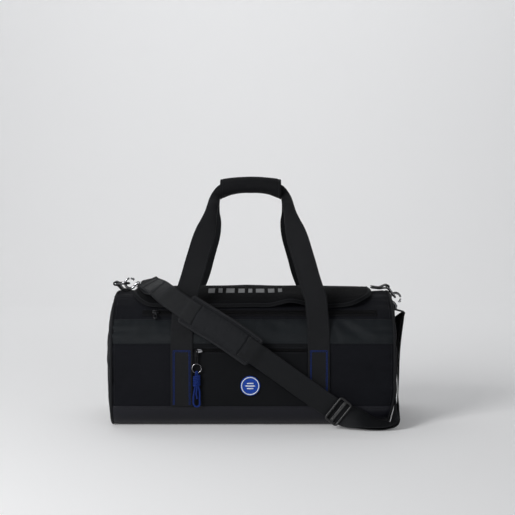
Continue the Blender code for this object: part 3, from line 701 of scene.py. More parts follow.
def make_materials():
    """Colours are linear RGB. Pitch and bump are in metres."""
    cloth("bag_fabric", (0.0046, 0.0050, 0.0070), "plain", pitch=0.00085, roughness=0.80,
          specular=0.12, mottle=0.4)
    cloth("pocket_fabric", (0.0043, 0.0047, 0.0056), "plain", pitch=0.00085, roughness=0.80,
          specular=0.12, mottle=0.4)
    cloth("band_fabric", (0.0066, 0.0084, 0.0100), "twill", pitch=0.0007, roughness=0.56,
          bump=0.0001, specular=0.15, mottle=0.4)
    cloth("coated_base", (0.0070, 0.0072, 0.0106), "grain", pitch=0.0008, roughness=0.46,
          bump=0.00010, specular=0.24, sheen=0.0, mottle=0.3)
    cloth("webbing", (0.0056, 0.0060, 0.0070), "rib", pitch=0.0011, roughness=0.64,
          bump=0.00028, specular=0.17, mottle=0.3)
    cloth("strap_webbing", (0.0040, 0.0046, 0.0056), "rib", pitch=0.0010, roughness=0.50,
          bump=0.00026, specular=0.20, mottle=0.3)
    cloth("pad_fabric", (0.0088, 0.0096, 0.0112), "plain", pitch=0.0011, roughness=0.66,
          bump=0.00022, specular=0.18)
    cloth("pad_binding", (0.0105, 0.0112, 0.0128), "plain", pitch=0.0007, roughness=0.62,
          bump=0.00014, specular=0.22)
    cloth("binding", (0.0080, 0.0084, 0.0094), "rib", pitch=0.0006, roughness=0.68, bump=0.00012)
    cloth("grip_fabric", (0.0062, 0.0064, 0.0074), "twill", pitch=0.0009)
    # painted shade: the flap is the body fabric, coloured darker so its upward face reads dimmer
    cloth("lid_fabric_painted_shade", (0.0032, 0.0034, 0.0040), "plain", pitch=0.00085, roughness=0.84,
          specular=0.08, sheen=0.004)
    cloth("zip_tape", (0.0042, 0.0042, 0.0048), "rib", pitch=0.0005, roughness=0.8,
          bump=0.0001, specular=0.08)
    cloth("lid_binding", (0.0046, 0.0049, 0.0056), "rib", pitch=0.0006, roughness=0.74,
          bump=0.00012, specular=0.10)
    cloth("thread_black", (0.0125, 0.0130, 0.0150), "braid", pitch=0.0003, roughness=0.55,
          bump=0.00005)
    cloth("thread_blue", (0.006, 0.024, 0.145), "braid", pitch=0.0003, roughness=0.5,
          bump=0.00005, mottle=0.05)
    cloth("cord_blue", (0.003, 0.017, 0.120), "braid", pitch=0.0011, roughness=0.6,
          bump=0.0003, specular=0.2, mottle=0.1)
    cloth("cord_black", (0.008, 0.008, 0.009), "braid", pitch=0.0008, roughness=0.6, bump=0.0002)
    hard("zip_coil", (0.0035, 0.0035, 0.0040), roughness=0.52, scratch=0.12, specular=0.15)
    plated("dark_nickel", bright=(0.46, 0.46, 0.48), dark=(0.012, 0.012, 0.014), roughness=0.14)
    hard("black_hardware", (0.012, 0.012, 0.013), roughness=0.34, scratch=0.12, specular=0.4)
    hard("black_acetal", (0.011, 0.011, 0.012), roughness=0.42, scratch=0.14, bump=0.00006)
    hard("badge_blue", (0.004, 0.046, 0.330), roughness=0.42, specular=0.25)
    hard("badge_white", (0.70, 0.74, 0.80), roughness=0.5, specular=0.3)
    hard("dark_zip_metal", (0.055, 0.055, 0.058), roughness=0.30, metal=1.0)
    hard("stiffener", (0.02, 0.02, 0.021), roughness=0.6)
    hard("lid_print", (0.13, 0.135, 0.14), roughness=0.5)
    new_material("studio_floor").shade({
        "Base Color": (0.88, 0.88, 0.885), "Roughness": 0.85, "Specular IOR Level": 0.2,
        "Emission Color": (1.0, 1.0, 1.0), "Emission Strength": 0.085})


# ------------------------------------------------------------------ cloth relaxation
def settle(ob, free, pressure, scale, cap, stretch):
    """Relax a cloth mesh under inner pressure.

    free is 0..1 per vertex; 0 is sewn down. The simulation runs scale times life size, and cap
    limits how far a vertex may move.
    """
    mesh = ob.data
    count = len(mesh.vertices)
    before = np.empty(count * 3)
    mesh.vertices.foreach_get("co", before)
    before = before.reshape(-1, 3)
    free = np.clip(free, 0, 1)
    copy = bpy.data.meshes.new("settle")
    copy.from_pydata((before * scale).tolist(), [], [list(p.vertices) for p in mesh.polygons])
    cloth_ob = bpy.data.objects.new("settle", copy)
    scene = bpy.context.scene
    scene.collection.objects.link(cloth_ob)
    group = cloth_ob.vertex_groups.new(name="pin")
    pin = np.round(1 - free, 2)
    for weight in np.unique(pin):
        group.add(np.where(pin == weight)[0].tolist(), float(weight), "REPLACE")
    modifier = cloth_ob.modifiers.new("Cloth", "CLOTH")
    settings = modifier.settings
    settings.quality = 5
    settings.mass = 0.15
    settings.tension_stiffness = 12
    settings.compression_stiffness = 12
    settings.shear_stiffness = 4
    settings.bending_stiffness = 0.5
    settings.vertex_group_mass = "pin"
    settings.pin_stiffness = 4
    settings.use_pressure = True
    settings.uniform_pressure_force = pressure
    settings.shrink_min = -stretch
    settings.effector_weights.gravity = 0.0
    last_frame = 18
    modifier.point_cache.frame_start = 1
    modifier.point_cache.frame_end = last_frame
    for frame in range(1, last_frame + 1):
        scene.frame_set(frame)
    settled = cloth_ob.evaluated_get(bpy.context.evaluated_depsgraph_get())
    after = np.empty(count * 3)
    settled.to_mesh().vertices.foreach_get("co", after)
    after = after.reshape(-1, 3) / scale
    settled.to_mesh_clear()
    scene.frame_set(1)
    bpy.data.objects.remove(cloth_ob, do_unlink=True)
    bpy.data.meshes.remove(copy)
    move = after - before
    move[~np.isfinite(move).all(1)] = 0
    distance = np.linalg.norm(move, axis=1, keepdims=True)
    move = (move / np.maximum(distance, 1e-9) * (cap * np.tanh(distance / cap))
            * np.minimum(free * 4, 1)[:, None])
    mesh.vertices.foreach_set("co", (before + move).ravel())
    mesh.update()


# ------------------------------------------------------------------ shell
def build_panels():
    whole = (-SHELL_X, SHELL_X)
    ob = patch("base_shell", "coated_base", whole, (-WRAP_G - 0.0012, WRAP_G + 0.0012),
               lift=-0.0004, thick=0.0014, step=0.0040, rim=0.0009, under=0.0009)
    put(ob, "bag", "coated_base", "bottom_panel")
    for tag, span in (("front", (-WRAP_G + 0.010, FRONT_TOP_G)),
                      ("back", (WRAP_G - 0.010, BACK_TOP_G))):
        ob = patch(tag + "_shell", "bag_fabric", whole, span, lift=-0.0016, thick=0.0014,
                   under=0.0006)
        put(ob, "bag", "body_fabric", tag + "_panel")
    # pieces beside the opening
    over_top = (FRONT_TOP_G - 0.0004, -(2 * GIRTH - BACK_TOP_G) + 0.0004)
    for tag, span in (("left", (-SHELL_X, -0.204)), ("right", (0.204, SHELL_X))):
        ob = patch(tag + "_top_shell", "bag_fabric", span, over_top, lift=-0.0017, thick=0.0014,
                   under=0.0004)
        put(ob, "bag", "body_fabric", tag + "_top_panel")


def level_row(half_length, girth, lift):
    return cloth_row((-half_length, girth), (half_length, girth), lift, 160)


def build_base_and_bands():
    """Topstitching of the base wrap, and the side bands with theirs."""
    inset = 0.0022
    rows = [level_row(SHELL_X - 0.004, side * (WRAP_G - inset), 0.0012) for side in (-1, 1)]
    put(stitches("base_stitch", rows), "bag", "coated_base")
    for tag, side in (("front", -1), ("back", 1)):
        ob = patch(tag + "_band_cloth", "band_fabric", (-SHELL_X, SHELL_X),
                   (side * BAND_LOW_G, side * BAND_HIGH_G), lift=-0.0001, thick=0.0010,
                   step=0.0032, rim=0.0009)
        put(ob, "bag", "band_fabric", tag + "_band")
    rows = [level_row(SHELL_X - 0.003, side * girth, 0.0010) for side in (-1, 1)
            for girth in (BAND_LOW_G + inset, BAND_HIGH_G - inset)]
    put(stitches("band_stitch", rows), "bag", "band_fabric")


def end_grid(sign, rho, girth):
    """Domed end cloth: rho runs from 1 at the seam to 0 at the centre. Returns the points."""
    rim = plain_point(0, girth, -0.0014)[:, 1:]
    centre = np.array([0, 0.113])
    rho, around = np.meshgrid(rho, girth, indexing="ij")
    yz = centre + (rim - centre)[None] * rho[..., None]
    y, z = yz[..., 0], yz[..., 1]
    dome = 1 - rho ** 2.3
    from_seam = (1 - rho) * 0.115
    fine_phase = 2.5 * vnoise(around * 23, 7.7, 6 + sign)
    wide_phase = 2 * vnoise(around * 12, 1.7, 8 + sign)
    gathers = (0.00065 * np.sin(2 * np.pi * around / 0.023 + fine_phase)
               * np.exp(-from_seam / 0.017)
               + 0.0010 * np.sin(2 * np.pi * around / 0.060 + wide_phase)
               * np.exp(-from_seam / 0.040))
    rise = 0.0150 * dome + gathers * smoothstep(1.0, 0.97, rho) * smoothstep(0.10, 0.50, rho)
    rise += 0.0016 * fbm(y / 0.07, z / 0.06, 51 + sign) * smoothstep(1.0, 0.8, rho)
    rise -= 0.0011 * np.exp(-(from_seam / 0.0022) ** 2)
    # flatter near the base
    rise *= 1 - 0.35 * (1 - smoothstep(0.005, 0.05, z))
    if sign > 0:
        rise += (END_FULLNESS * smoothstep(0.008, 0.060, z) * smoothstep(0.35, 0.95, rho)
                 - 0.0040 * dome)
    return xyz(sign * (0.2528 + rise), y, z)


def build_end_cloth(tag, sign, girth):
    rho = np.concatenate([[1.0, 0.992, 0.982, 0.970], np.linspace(0.955, 0.012, 34)])
    outer = end_grid(sign, rho, girth)
    inner = outer - np.array([sign * 0.0013, 0, 0])
    rings, around = outer.shape[:2]
    count = rings * around
    faces = np.concatenate([grid_faces(rings, around, wrap_columns=True),
                            grid_faces(rings, around, count, wrap_columns=True, flip=True),
                            side_faces(np.arange(around), count)]).tolist()
    # close the small hole at the centre of both layers
    faces.append(list(range(count - around, count)))
    faces.append(list(reversed(range(2 * count - around, 2 * count))))
    if sign > 0:
        faces = [face[::-1] for face in faces]
    verts = np.concatenate([outer, inner])
    ob = join(tag + "_end_cloth", [(verts, faces, verts[..., 1:])], "bag_fabric")
    bm = bmesh.new()
    bm.from_mesh(ob.data)
    bmesh.ops.recalc_face_normals(bm, faces=bm.faces[:])
    bm.to_mesh(ob.data)
    bm.free()
    put(ob, "bag", "body_fabric", tag + "_end_panel")


def build_ends():
    """End cloth, the piping cord in its seam, and the stitching beside it."""
    girth = np.linspace(-GIRTH, GIRTH, 240, endpoint=False)
    for tag, sign in (("left", -1), ("right", 1)):
        build_end_cloth(tag, sign, girth)
        path = plain_point(sign * 0.2502, girth, -0.0012 + 0.00025 * vnoise(girth * 60, 0, 13))
        path[:, 2] = np.maximum(path[:, 2], 0.0024)
        radius = 0.0025 + 0.00012 * np.sin(girth * 2 * np.pi / 0.004)
        put(tube(tag + "_piping_cord", path, radius, "binding", closed=True),
            "bag", "piping", tag + "_piping")
        x = sign * 0.2440
        rows = [cloth_row((x, low), (x, high), 0.0003, 240)
                for low, high in ((-GIRTH, -WRAP_G - 0.004), (WRAP_G + 0.004, GIRTH))]
        put(stitches(tag + "_seam_stitch", rows), "bag", "body_fabric")


def fill_out_right_end():
    """Push out what is already built near the right end; its end cloth is shaped full."""
    for ob in MADE:
        if ob.name == "right_end_cloth":
            continue
        points = np.empty(len(ob.data.vertices) * 3)
        ob.data.vertices.foreach_get("co", points)
        points = points.reshape(-1, 3)
        x, z = points[:, 0], points[:, 2]
        points[:, 0] += END_FULLNESS * smoothstep(0.15, 0.25, x) * smoothstep(0.008, 0.060, z)
        ob.data.vertices.foreach_set("co", points.ravel())
        ob.data.update()


# ------------------------------------------------------------------ front pocket and badge
POCKET_X = 0.1030                # half length
POCKET_Z = (0.0370, 0.1350)


def pocket_fullness(x, girth):
    low, high = girth_at_z(POCKET_Z[0]), girth_at_z(POCKET_Z[1])
    up = np.sin(np.pi * np.clip((np.abs(girth) - low) / (high - low), 0, 1)) ** 0.7
    return 0.0011 * np.cos(np.pi * x / 0.21) * up


def build_pocket():
    def strip(name, mat, z_low, z_high, **settings):
        return patch(name, mat, (-POCKET_X, POCKET_X), (-girth_at_z(z_low), -girth_at_z(z_high)),
                     **settings)

    put(strip("pocket_cloth", "pocket_fabric", *POCKET_Z, lift=-0.0001, thick=0.0011,
              step=0.0032, fullness=pocket_fullness), "bag", "body_fabric", "pocket_panel")
    put(strip("pocket_tape_cloth", "zip_tape", 0.1335, 0.1420, lift=-0.0003, thick=0.0006,
              step=0.003), "bag", "zip_tape", "pocket_zip_tape")
    put(strip("pocket_welt", "pocket_fabric", 0.1403, 0.1492, lift=-0.0001, thick=0.0011,
              step=0.0032), "bag", "body_fabric", "pocket_facing")
    right = POCKET_X - 0.002
    rows = [cloth_row((-right, -girth_at_z(z)), (right, -girth_at_z(z)), 0.0012, 90)
            for z in (0.1332, 0.1422)]
    put(stitches("pocket_stitch", rows), "bag", "body_fabric")
    girth = -girth_at_z(POCKET_ZIP_Z)
    path, normals = cloth_row((-0.0895, girth), (right, girth), 0.0010, 90)
    ob = coil("pocket_coil", path, normals, np.broadcast_to([0, 0, 1.0], path.shape),
              pitch=0.0013, half=0.0017, radius=0.00048)
    put(ob, "bag", "zip_tape")


def build_badge():
    low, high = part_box("badge")
    x, z = (low.x + high.x) / 2, (low.z + high.z) / 2
    radius = (high.x - low.x) / 2
    # seat the disc on the cloth under it
    dx, dz = np.meshgrid(np.linspace(-radius, radius, 9), np.linspace(-radius, radius, 9))
    under = cloth_point(x + dx.ravel(), -girth_at_z((z + dz).ravel()), 0.0016)
    y = float(under[:, 1].min()) - 0.0004

    # turned disc: distance from the centre, height towards the front
    profile = np.array([
        (0.0002, 0.0014), (radius * 0.60, 0.0015), (radius * 0.80, 0.0014),
        (radius * 0.955, 0.0014), (radius * 0.99, 0.0010), (radius, 0.0004),
        (radius * 0.995, -0.0012), (0.0002, -0.0012)])
    sides = 72
    angle = np.arange(sides) * 2 * np.pi / sides
    reach, height = profile[:, :1], profile[:, 1:]
    verts = xyz(x + reach * np.cos(angle), y - height, z + reach * np.sin(angle))
    faces = grid_faces(len(profile), sides, wrap_columns=True).tolist()
    faces.append(list(reversed(range(sides))))
    faces.append(list(range((len(profile) - 1) * sides, len(profile) * sides)))
    faces = [face[::-1] for face in faces]
    put(join("badge_disc", [(verts, faces, verts[..., [0, 2]])], "badge_blue"),
        "bag", "badge", "badge")

    angle = np.arange(90) * 2 * np.pi / 90
    rim = radius * 0.865
    ring = xyz(x + rim * np.cos(angle), y - 0.0015, z + rim * np.sin(angle))
    put(tube("badge_rim", ring, radius * 0.052, "badge_white", sides=10, closed=True),
        "bag", "badge")

    bars = []
    for rise, half in ((0.0046, 0.0062), (0.0, 0.0092), (-0.0046, 0.0062)):
        xs = np.linspace(-half, half, 26)
        taper = np.sqrt(np.clip(1 - (np.abs(xs) / half) ** 10, 0.02, 1))
        bars.append((xyz(x + xs, y - 0.0014, z + rise), 0.00115 * taper))
    put(tubes("badge_bars", bars, "badge_white", sides=10), "bag", "badge")


# ------------------------------------------------------------------ handles
# z, distance of the webbing from the middle plane
HANDLE_DEPTHS = np.array([
    (0.165, 0.1190), (0.190, 0.1145), (0.220, 0.1120), (0.250, 0.1085), (0.300, 0.0930),
    (0.350, 0.0660), (0.400, 0.0300), (0.416, 0.0105), (0.422, 0.0070), (0.450, 0.0070)])
# z, distance of a leg's centre line from x = 0
HANDLE_SPREAD = np.array([
    (0.18, HANDLE_X), (0.23, 0.1180), (0.26, 0.1080), (0.295, 0.0985), (0.333, 0.0875),
    (0.368, 0.0775), (0.396, 0.0705)])
SEWN_Z = (0.0372, 0.050, 0.070, 0.090, 0.110, 0.130, 0.148, 0.160)
FREE_Z = (0.176, 0.194, 0.212, 0.230, 0.250, 0.270, 0.292, 0.314, 0.334, 0.352, 0.368, 0.384,
          0.397)
# Turn into the grip, out to the middle: x, z, width, thickness
GRIP_TURN = (
    (0.0682, 0.4085, 0.0195, 0.0040), (0.0640, 0.4190, 0.0172, 0.0042),
    (0.0568, 0.4283, 0.0160, 0.0042), (0.0460, 0.4335, 0.0158, 0.0042),
    (0.0300, 0.4362, 0.0158, 0.0042), (0.0, 0.4370, 0.0158, 0.0042))
HANDLE_THICK = 0.0020
HANDLE_FLEX_Z = (0.236, 0.264)   # between these the webbing passes from bag to handle


def handle_y(z):
    return np.interp(z, *HANDLE_DEPTHS.T)


def leg_keys(side):
    """Right leg from the bottom to the grip's middle: x, y, z, width, thickness, cupping."""
    keys = []
    for z in SEWN_Z:
        _, y, z = cloth_point(-HANDLE_X, side * girth_at_z(z), 0.0021)
        keys.append((HANDLE_X, y, z, WEB_WIDTH, HANDLE_THICK, 0.0))
    for z in FREE_Z:
        x = np.interp(z, *HANDLE_SPREAD.T)
        if side > 0:
            x -= 0.0060 * smoothstep(0.20, 0.27, z) * (1 - smoothstep(0.36, 0.40, z))
        fold = smoothstep(0.335, 0.397, z)
        keys.append((x, side * handle_y(z), z, WEB_WIDTH * (1 - fold) + 0.0215 * fold,
                     HANDLE_THICK + 0.0016 * fold, 0.0030 * fold))
    for x, z, width, thick in GRIP_TURN:
        keys.append((x, side * handle_y(z), z, width, thick, 0.0012))
    return np.array(keys, float)


def handle_path(side):
    """Whole handle from the left leg over to the right one."""
    right = leg_keys(side)
    left = right * [-1, 1, 1, 1, 1, 1]
    keys = np.concatenate([left, right[-2::-1]])
    along = unit(np.gradient(keys[:, [0, 2]], axis=0))
    across = np.stack([along[:, 1], 0 * along[:, 0], -along[:, 0]], -1)
    going_up = np.arange(len(keys)) < len(keys) / 2
    sewn = keys[:, 2] < 0.20
    across[sewn & going_up] = (1, 0, 0)
    across[sewn & ~going_up] = (-1, 0, 0)
    rows = spline(np.hstack([keys[:, :3], across, keys[:, 3:]]), 10)
    path, across = rows[:, :3], rows[:, 3:6]
    _, across, normals = web_frame(path, across, len(rows) // 3, (0, side, 0))
    return path, across, normals, *rows[:, 6:].T


def build_blue_boxes(centre_x, z, path, normals, thick):
    """Double three-sided boxes of blue thread on the sewn part of the front legs."""
    rows = []
    for sign in (-1, 1):
        for half, top in ((0.0152, 0.1395), (0.0132, 0.1375)):
            index = np.where((np.sign(centre_x) == sign) & (z > 0.0395) & (z < top))[0][::-sign]
            normal = normals[index]
            centre = path[index] + normal * (thick[index] / 2 + 0.00018)[:, None]
            left, right = centre - [half, 0, 0], centre + [half, 0, 0]
            rows += [(left, normal), (right, normal),
                     (np.stack([left[-1], right[-1]]), normal[-1])]
    ob = stitches("blue_box_stitch", rows, "thread_blue", pitch=0.0028, length=0.0022,
                  radius=0.00042)
    put(ob, "bag", "blue_cord")


def build_handle(tag, side):
    centre, across, normals, width, thick, cup = handle_path(side)
    x, z = centre[:, 0], centre[:, 2]
    free = smoothstep(0.20, 0.27, z)
    length = path_length(centre)
    path = centre + normals * (free * 0.0010 * vnoise(length / 0.06, side, 61))[:, None]

    def wrinkle(i, u):
        return 0.0005 * free[i] * vnoise(u / 0.02 + 5, length[i] / 0.05, 71)

    web = ribbon(tag + "_handle_web", path, across, normals, width, thick, "webbing", count=20,
                 cup=cup, wrinkle=wrinkle)
    rows = []
    for leg in (x < 0, x > 0):
        index = np.where(leg & (z < 0.330))[0]
        for edge in (-1, 1):
            inset = across[index] * (edge * (width[index] / 2 - 0.0028))[:, None]
            raised = normals[index] * (thick[index] / 2 + 0.0001)[:, None]
            rows.append((path[index] + inset + raised, normals[index]))
    thread = stitches(tag + "_handle_thread", rows)
    y = side * handle_y(HINGE_Z)
    bodies = ("bag", tag + "_handle")
    start, end = ((0, y, flex_z) for flex_z in HANDLE_FLEX_Z)
    put_between(web, bodies, start, end,
                tag + "_left_webbing", tag + "_right_webbing", tag + "_handle")
    put_between(thread, bodies, start, end)
    if tag == "front":
        build_blue_boxes(x, z, path, normals, thick)


GRIP_X = 0.0575                  # half length of the padded grip


def grip_point(x, angle, lift, side):
    """Point on half of the grip; angle runs from the top round the side to the bottom."""
    out = np.abs(x) / GRIP_X
    centre_z = 0.4366 - 0.0088 * out ** 2.6
    half_height = 0.0116 + 0.0048 * out ** 3
    half_depth = 0.0158 + 0.0022 * out
    return xyz(x, side * (0.0004 + (half_depth + lift) * np.sin(angle)),
               centre_z + (half_height + lift) * np.cos(angle))


def build_grip_half(name, side, body, cad):
    u = edged(0.0, 1.0, step=0.022, rim=0.012)
    v = edged(0.0, 1.0, step=0.03, rim=0.014)
    u_grid, v_grid = np.meshgrid(u, v, indexing="ij")
    out = np.abs(2 * u_grid - 1)
    angle = np.radians(2 + 176 * v_grid)
    x = -GRIP_X + 2 * GRIP_X * u_grid
    rim = np.minimum(round_off(u_grid, 0, 1, 0.020), round_off(v_grid, 0, 1, 0.05))
    seam = np.exp(-((1 - out) * GRIP_X / 0.0016 - 2.6) ** 2) * 0.0007
    puff = 0.0024 * rim ** 0.7 + 0.0008 * rim * (1 - out ** 4) - seam
    puff = puff + 0.0005 * vnoise(x / 0.016, angle * 1.6, 81 + side) * rim
    top = grip_point(x, angle, 0.00075 + puff, side)
    bottom = grip_point(x, angle, -0.0009, side)
    uv = np.stack([x, angle * 0.016], -1)
    ob = join(name, [slab_part(top, bottom, uv)], "grip_fabric")
    face_towards(ob, len(u) * len(v) // 2, (0, side, 0))
    put(ob, body, "padding_fabric", cad)

    def row(x, angle, lift):
        return (grip_point(x, angle, lift, side),
                xyz(0 * x, side * np.sin(angle), np.cos(angle) + 0 * x))

    around = np.radians(np.linspace(14, 166, 40))
    along = np.linspace(-GRIP_X + 0.005, GRIP_X - 0.005, 50)
    rows = [row(end * (GRIP_X - 0.0044), around, 0.0029) for end in (-1, 1)]
    rows += [row(along, math.radians(degrees), 0.0031) for degrees in (16, 164)]
    put(stitches(name + "_thread", rows, radius=0.0004), body, "padding_fabric")


# ------------------------------------------------------------------ lid
LID_FRONT_G = -girth_at_top_y(-LID_Y[0])
LID_BACK_G = -(2 * GIRTH - girth_at_top_y(LID_Y[1]))


def lid_girth(part):
    """Girth at a part of the way from the flap's front edge (0) to its back edge (1)."""
    return LID_FRONT_G + (LID_BACK_G - LID_FRONT_G) * part


def lid_half_length(girth):
    """Half length of the flap at a girth, less towards its rounded corners."""
    y = plain_point(0, girth)[..., 1]
    inside = np.clip(np.minimum(y - LID_Y[0], LID_Y[1] - y), 0, LID_CORNER_R)
    circle = np.sqrt(np.maximum(LID_CORNER_R ** 2 - (LID_CORNER_R - inside) ** 2, 0))
    return LID_HALF_LENGTH - (LID_CORNER_R - circle) * 0.8


def lid_lift(x, girth):
    """The flap's free front edge rides up and down; the crown is lightly padded."""
    part = np.clip((girth - LID_FRONT_G) / (LID_BACK_G - LID_FRONT_G), 0, 1)
    wave = (0.0022 + 0.0112 * np.exp(-((x - 0.073) / 0.027) ** 2)
            + 0.0052 * np.exp(-((x - 0.196) / 0.026) ** 2) + 0.0014 * vnoise(x / 0.045, 2.2, 91))
    front = np.exp(-(part / 0.17) ** 2)
    ends = np.cos(np.clip(np.abs(x) / 0.23, 0, 1) * np.pi / 2) ** 0.4
    crown = 0.0050 * np.sin(np.pi * part) ** 0.8 * ends
    crown = crown * (0.25 + 0.75 * smoothstep(-0.215, -0.130, x))
    soft = 0.0012 * fbm(x / 0.06, girth / 0.035, 95) * np.sin(np.pi * np.clip(part, 0.02, 0.98))
    return wave * front + crown + soft


def lid_point(x, girth, lift):
    return plain_point(x, girth, 0.0036 + lift + lid_lift(x, girth))


def build_lid_cloth():
    u = edged(-1, 1, step=2 / 150, rim=0.006)
    v = edged(0, 1, step=1 / 60, rim=0.010)
    u_grid, v_grid = np.meshgrid(u, v, indexing="ij")
    girth = lid_girth(v_grid)
    x = u_grid * lid_half_length(girth)
    rim = np.minimum(round_off(u_grid, -1, 1, 0.010), round_off(v_grid, 0, 1, 0.016))
    from_edge = np.minimum((1 - np.abs(u_grid)) * 0.21, v_grid * 0.16)
    seam = 0.0007 * np.exp(-((from_edge - 0.0115) / 0.0013) ** 2)
    top = lid_point(x, girth, 0.0004 + 0.0022 * rim - seam)
    bottom = lid_point(x, girth, -0.0012)
    ob = join("lid_cloth", [slab_part(top, bottom, np.stack([x, girth], -1))], "lid_fabric_painted_shade")
    face_towards(ob, len(u) // 2 * (len(v) - 1) + len(v) // 2, (0, 0, 1))
    put(ob, "lid", "body_fabric", "lid_panel")


def build_lid_binding():
    """Binding round the free edge: up both rounded ends and along the front."""
    side_g = lid_girth(np.concatenate([np.linspace(0.93, 0.30, 26), np.linspace(0.28, 0.0, 26)]))
    side_x = lid_half_length(side_g)
    front_x = np.linspace(-side_x[-1], side_x[-1], 90)[1:-1]
    outline = np.concatenate([
        np.stack([-side_x, side_g], 1),
        np.stack([front_x, LID_FRONT_G + 0 * front_x], 1),
        np.stack([side_x, side_g], 1)[::-1]])
    length = path_length(outline)
    at = np.linspace(0, length[-1], 330)
    x, girth = (moving_average(column, 7) for column in interp_rows(at, length, outline).T)
    path = lid_point(x, girth, 0.0)
    normals = plain_normal(x, girth)
    outward = unit(np.cross(unit(np.gradient(path, axis=0)), normals))
    from_middle = np.sum(outward * (path - np.array([0, 0, 0.225])), 1)
    outward = outward * np.where(from_middle < 0, -1.0, 1.0)[:, None]
    # the band turns down over the edge
    down = unit(outward * 0.80 - normals * 0.60)
    face = unit(normals * 0.80 + outward * 0.60)
    path = path + down * 0.0022 + normals * 0.0006
    path = path + face * (0.0005 * vnoise(at / 0.022, 4, 98))[:, None]
    width = 0.0080 + 0.0004 * vnoise(at / 0.05, 0, 97)
    ob = ribbon("lid_binding", path, down, face, width, 0.0030, "lid_binding", count=12,
                wrinkle=lambda i, u: 0.0006 * np.cos(u / 0.005 * 1.4))
    put(ob, "lid", "body_fabric", "lid_hem")
    rows = [(path - down * 0.0027 + face * 0.0018, face),
            (path + down * 0.0026 + face * 0.0016, face)]
    put(stitches("lid_binding_thread", rows), "lid", "body_fabric")


def build_lid_print():
    """A row of printed dashes near the flap's front edge."""
    dash_lengths, gap = (0.0120, 0.0075, 0.0160), 0.0066
    parts = []
    x = -0.078
    while x < 0.062:
        dash = dash_lengths[len(parts) % 3]
        xs, girth = np.meshgrid(np.linspace(x, x + dash, 10),
                                np.linspace(lid_girth(0.200), lid_girth(0.320), 12),
                                indexing="ij")
        parts.append(slab_part(lid_point(xs, girth, 0.00282), lid_point(xs, girth, 0.0020),
                               np.stack([xs, girth], -1)))
        x += dash + gap
    ob = join("lid_print", parts, "lid_print")
    face_towards(ob, 40, (0, 0, 1))
    put(ob, "lid", "body_fabric")


# ------------------------------------------------------------------ zips and pulls
def up_the_front(x, girth):
    """Direction up the cloth on the front."""
    return unit(plain_point(x, girth - 0.004) - plain_point(x, girth + 0.004))


def build_main_zip():
    """Tape and coil on the front shoulder."""
    ob = patch("main_tape_cloth", "zip_tape", (-0.197, 0.223), (-ZIP_G + 0.0078, -ZIP_G - 0.0078),
               lift=-0.0002, thick=0.0008, step=0.003)
    put(ob, "bag", "zip_tape", "main_zip_tape")
    path, normals = cloth_row((-0.165, -ZIP_G), (0.218, -ZIP_G), 0.0009, 170)
    ob = coil("main_coil", path, normals, up_the_front(path[:, 0], -ZIP_G), pitch=0.0016,
              half=0.0022, radius=0.0006)
    put(ob, "bag", "zip_tape")
    rows = [cloth_row((-0.195, girth), (0.221, girth), 0.0009, 150)
            for girth in (-ZIP_G + 0.0060, -ZIP_G - 0.0060)]
    put(stitches("main_tape_thread", rows), "bag", "zip_tape")


def slider(name, base, along, across, out, length, width, height, mat):
    """Zip slider: two rounded wedge plates joined by a neck, with a bridge for the pull."""
    base, along, across, out = (np.asarray(v, float) for v in (base, along, across, out))
    sides = 40
    angle = 2 * np.pi * np.arange(sides) / sides
    cos, sin = np.cos(angle), np.sin(angle)
    x = np.sign(cos) * np.abs(cos) ** 0.6 * length / 2
    half_width = width / 2 * (1 - 0.28 * (x / (length / 2) * 0.5 + 0.5) ** 2)
    y = np.sign(sin) * np.abs(sin) ** 0.6 * half_width
    outline = along * x[:, None] + across * y[:, None]
    faces = grid_faces(5, sides, wrap_columns=True, flip=True).tolist()
    faces += [list(reversed(range(sides))), list(range(4 * sides, 5 * sides))]

    def plate(low, high):
        # outline scale, part of the plate's thickness
        rings = ((0.90, 0.0), (1.0, 0.25), (1.0, 0.7), (0.93, 0.92), (0.80, 1.0))
        verts = np.concatenate([base + outline * scale + out * (low + (high - low) * part)
                                for scale, part in rings])
        return verts, faces, verts[:, :2]

    neck = base + along * (length * 0.12) + out * np.linspace(0.0, height * 0.9, 4)[:, None]
    turn = np.linspace(0, np.pi, 15)[:, None]
    bridge = (base - along * (np.cos(turn) * length * 0.36)
              + out * (height * 0.85 + np.sin(turn) ** 0.7 * height * 0.62))
    parts = [plate(0.0, height * 0.42), plate(height * 0.56, height),
             tube_part(neck, width * 0.17, 12), tube_part(bridge, width * 0.085, 10)]
    return join(name, parts, mat)


def build_main_slider():
    x = -0.172
    out = plain_normal(x, -ZIP_G)
    up = up_the_front(x, -ZIP_G)
    right = np.array([1.0, 0, 0])
    ob = slider("main_slider_body", cloth_point(x, -ZIP_G, 0.0013) + out * 0.0001, right, up, out,
                length=0.0125, width=0.0082, height=0.0034, mat="dark_zip_metal")
    put(ob, "main_slider", "nickel", "main_zip_slider")
    # pull: a short stem and an open loop below it
    root = cloth_point(x, -ZIP_G, 0.0056) - up * 0.0040
    stem = [root + up * 0.0030 + out * 0.0006, root + out * 0.0004, root - up * 0.0045]
    angle = (np.arange(28) * 2 * np.pi / 28)[:, None]
    loop = root - up * 0.0088 + right * 0.0031 * np.cos(angle) - up * 0.0046 * np.sin(angle)
    put(tubes("main_pull_tag", [(stem, 0.0009), (loop, 0.00105, True)], "dark_zip_metal"),
        "main_pull", "nickel", "main_zip_pull")


PULL_X = -0.0960                 # the pocket zip's cord and ring hang at this x


def build_pocket_slider():
    low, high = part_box("pocket_slider")
    base = ((low.x + high.x) / 2, -HALF_DEPTH - 0.0022, (low.z + high.z) / 2)
    ob = slider("pocket_slider_body", base, (1, 0, 0), (0, 0, 1), (0, -1, 0), length=0.0115,
                width=0.0078, height=0.0032, mat="dark_nickel")
    put(ob, "pocket_slider", "nickel", "pocket_slider")


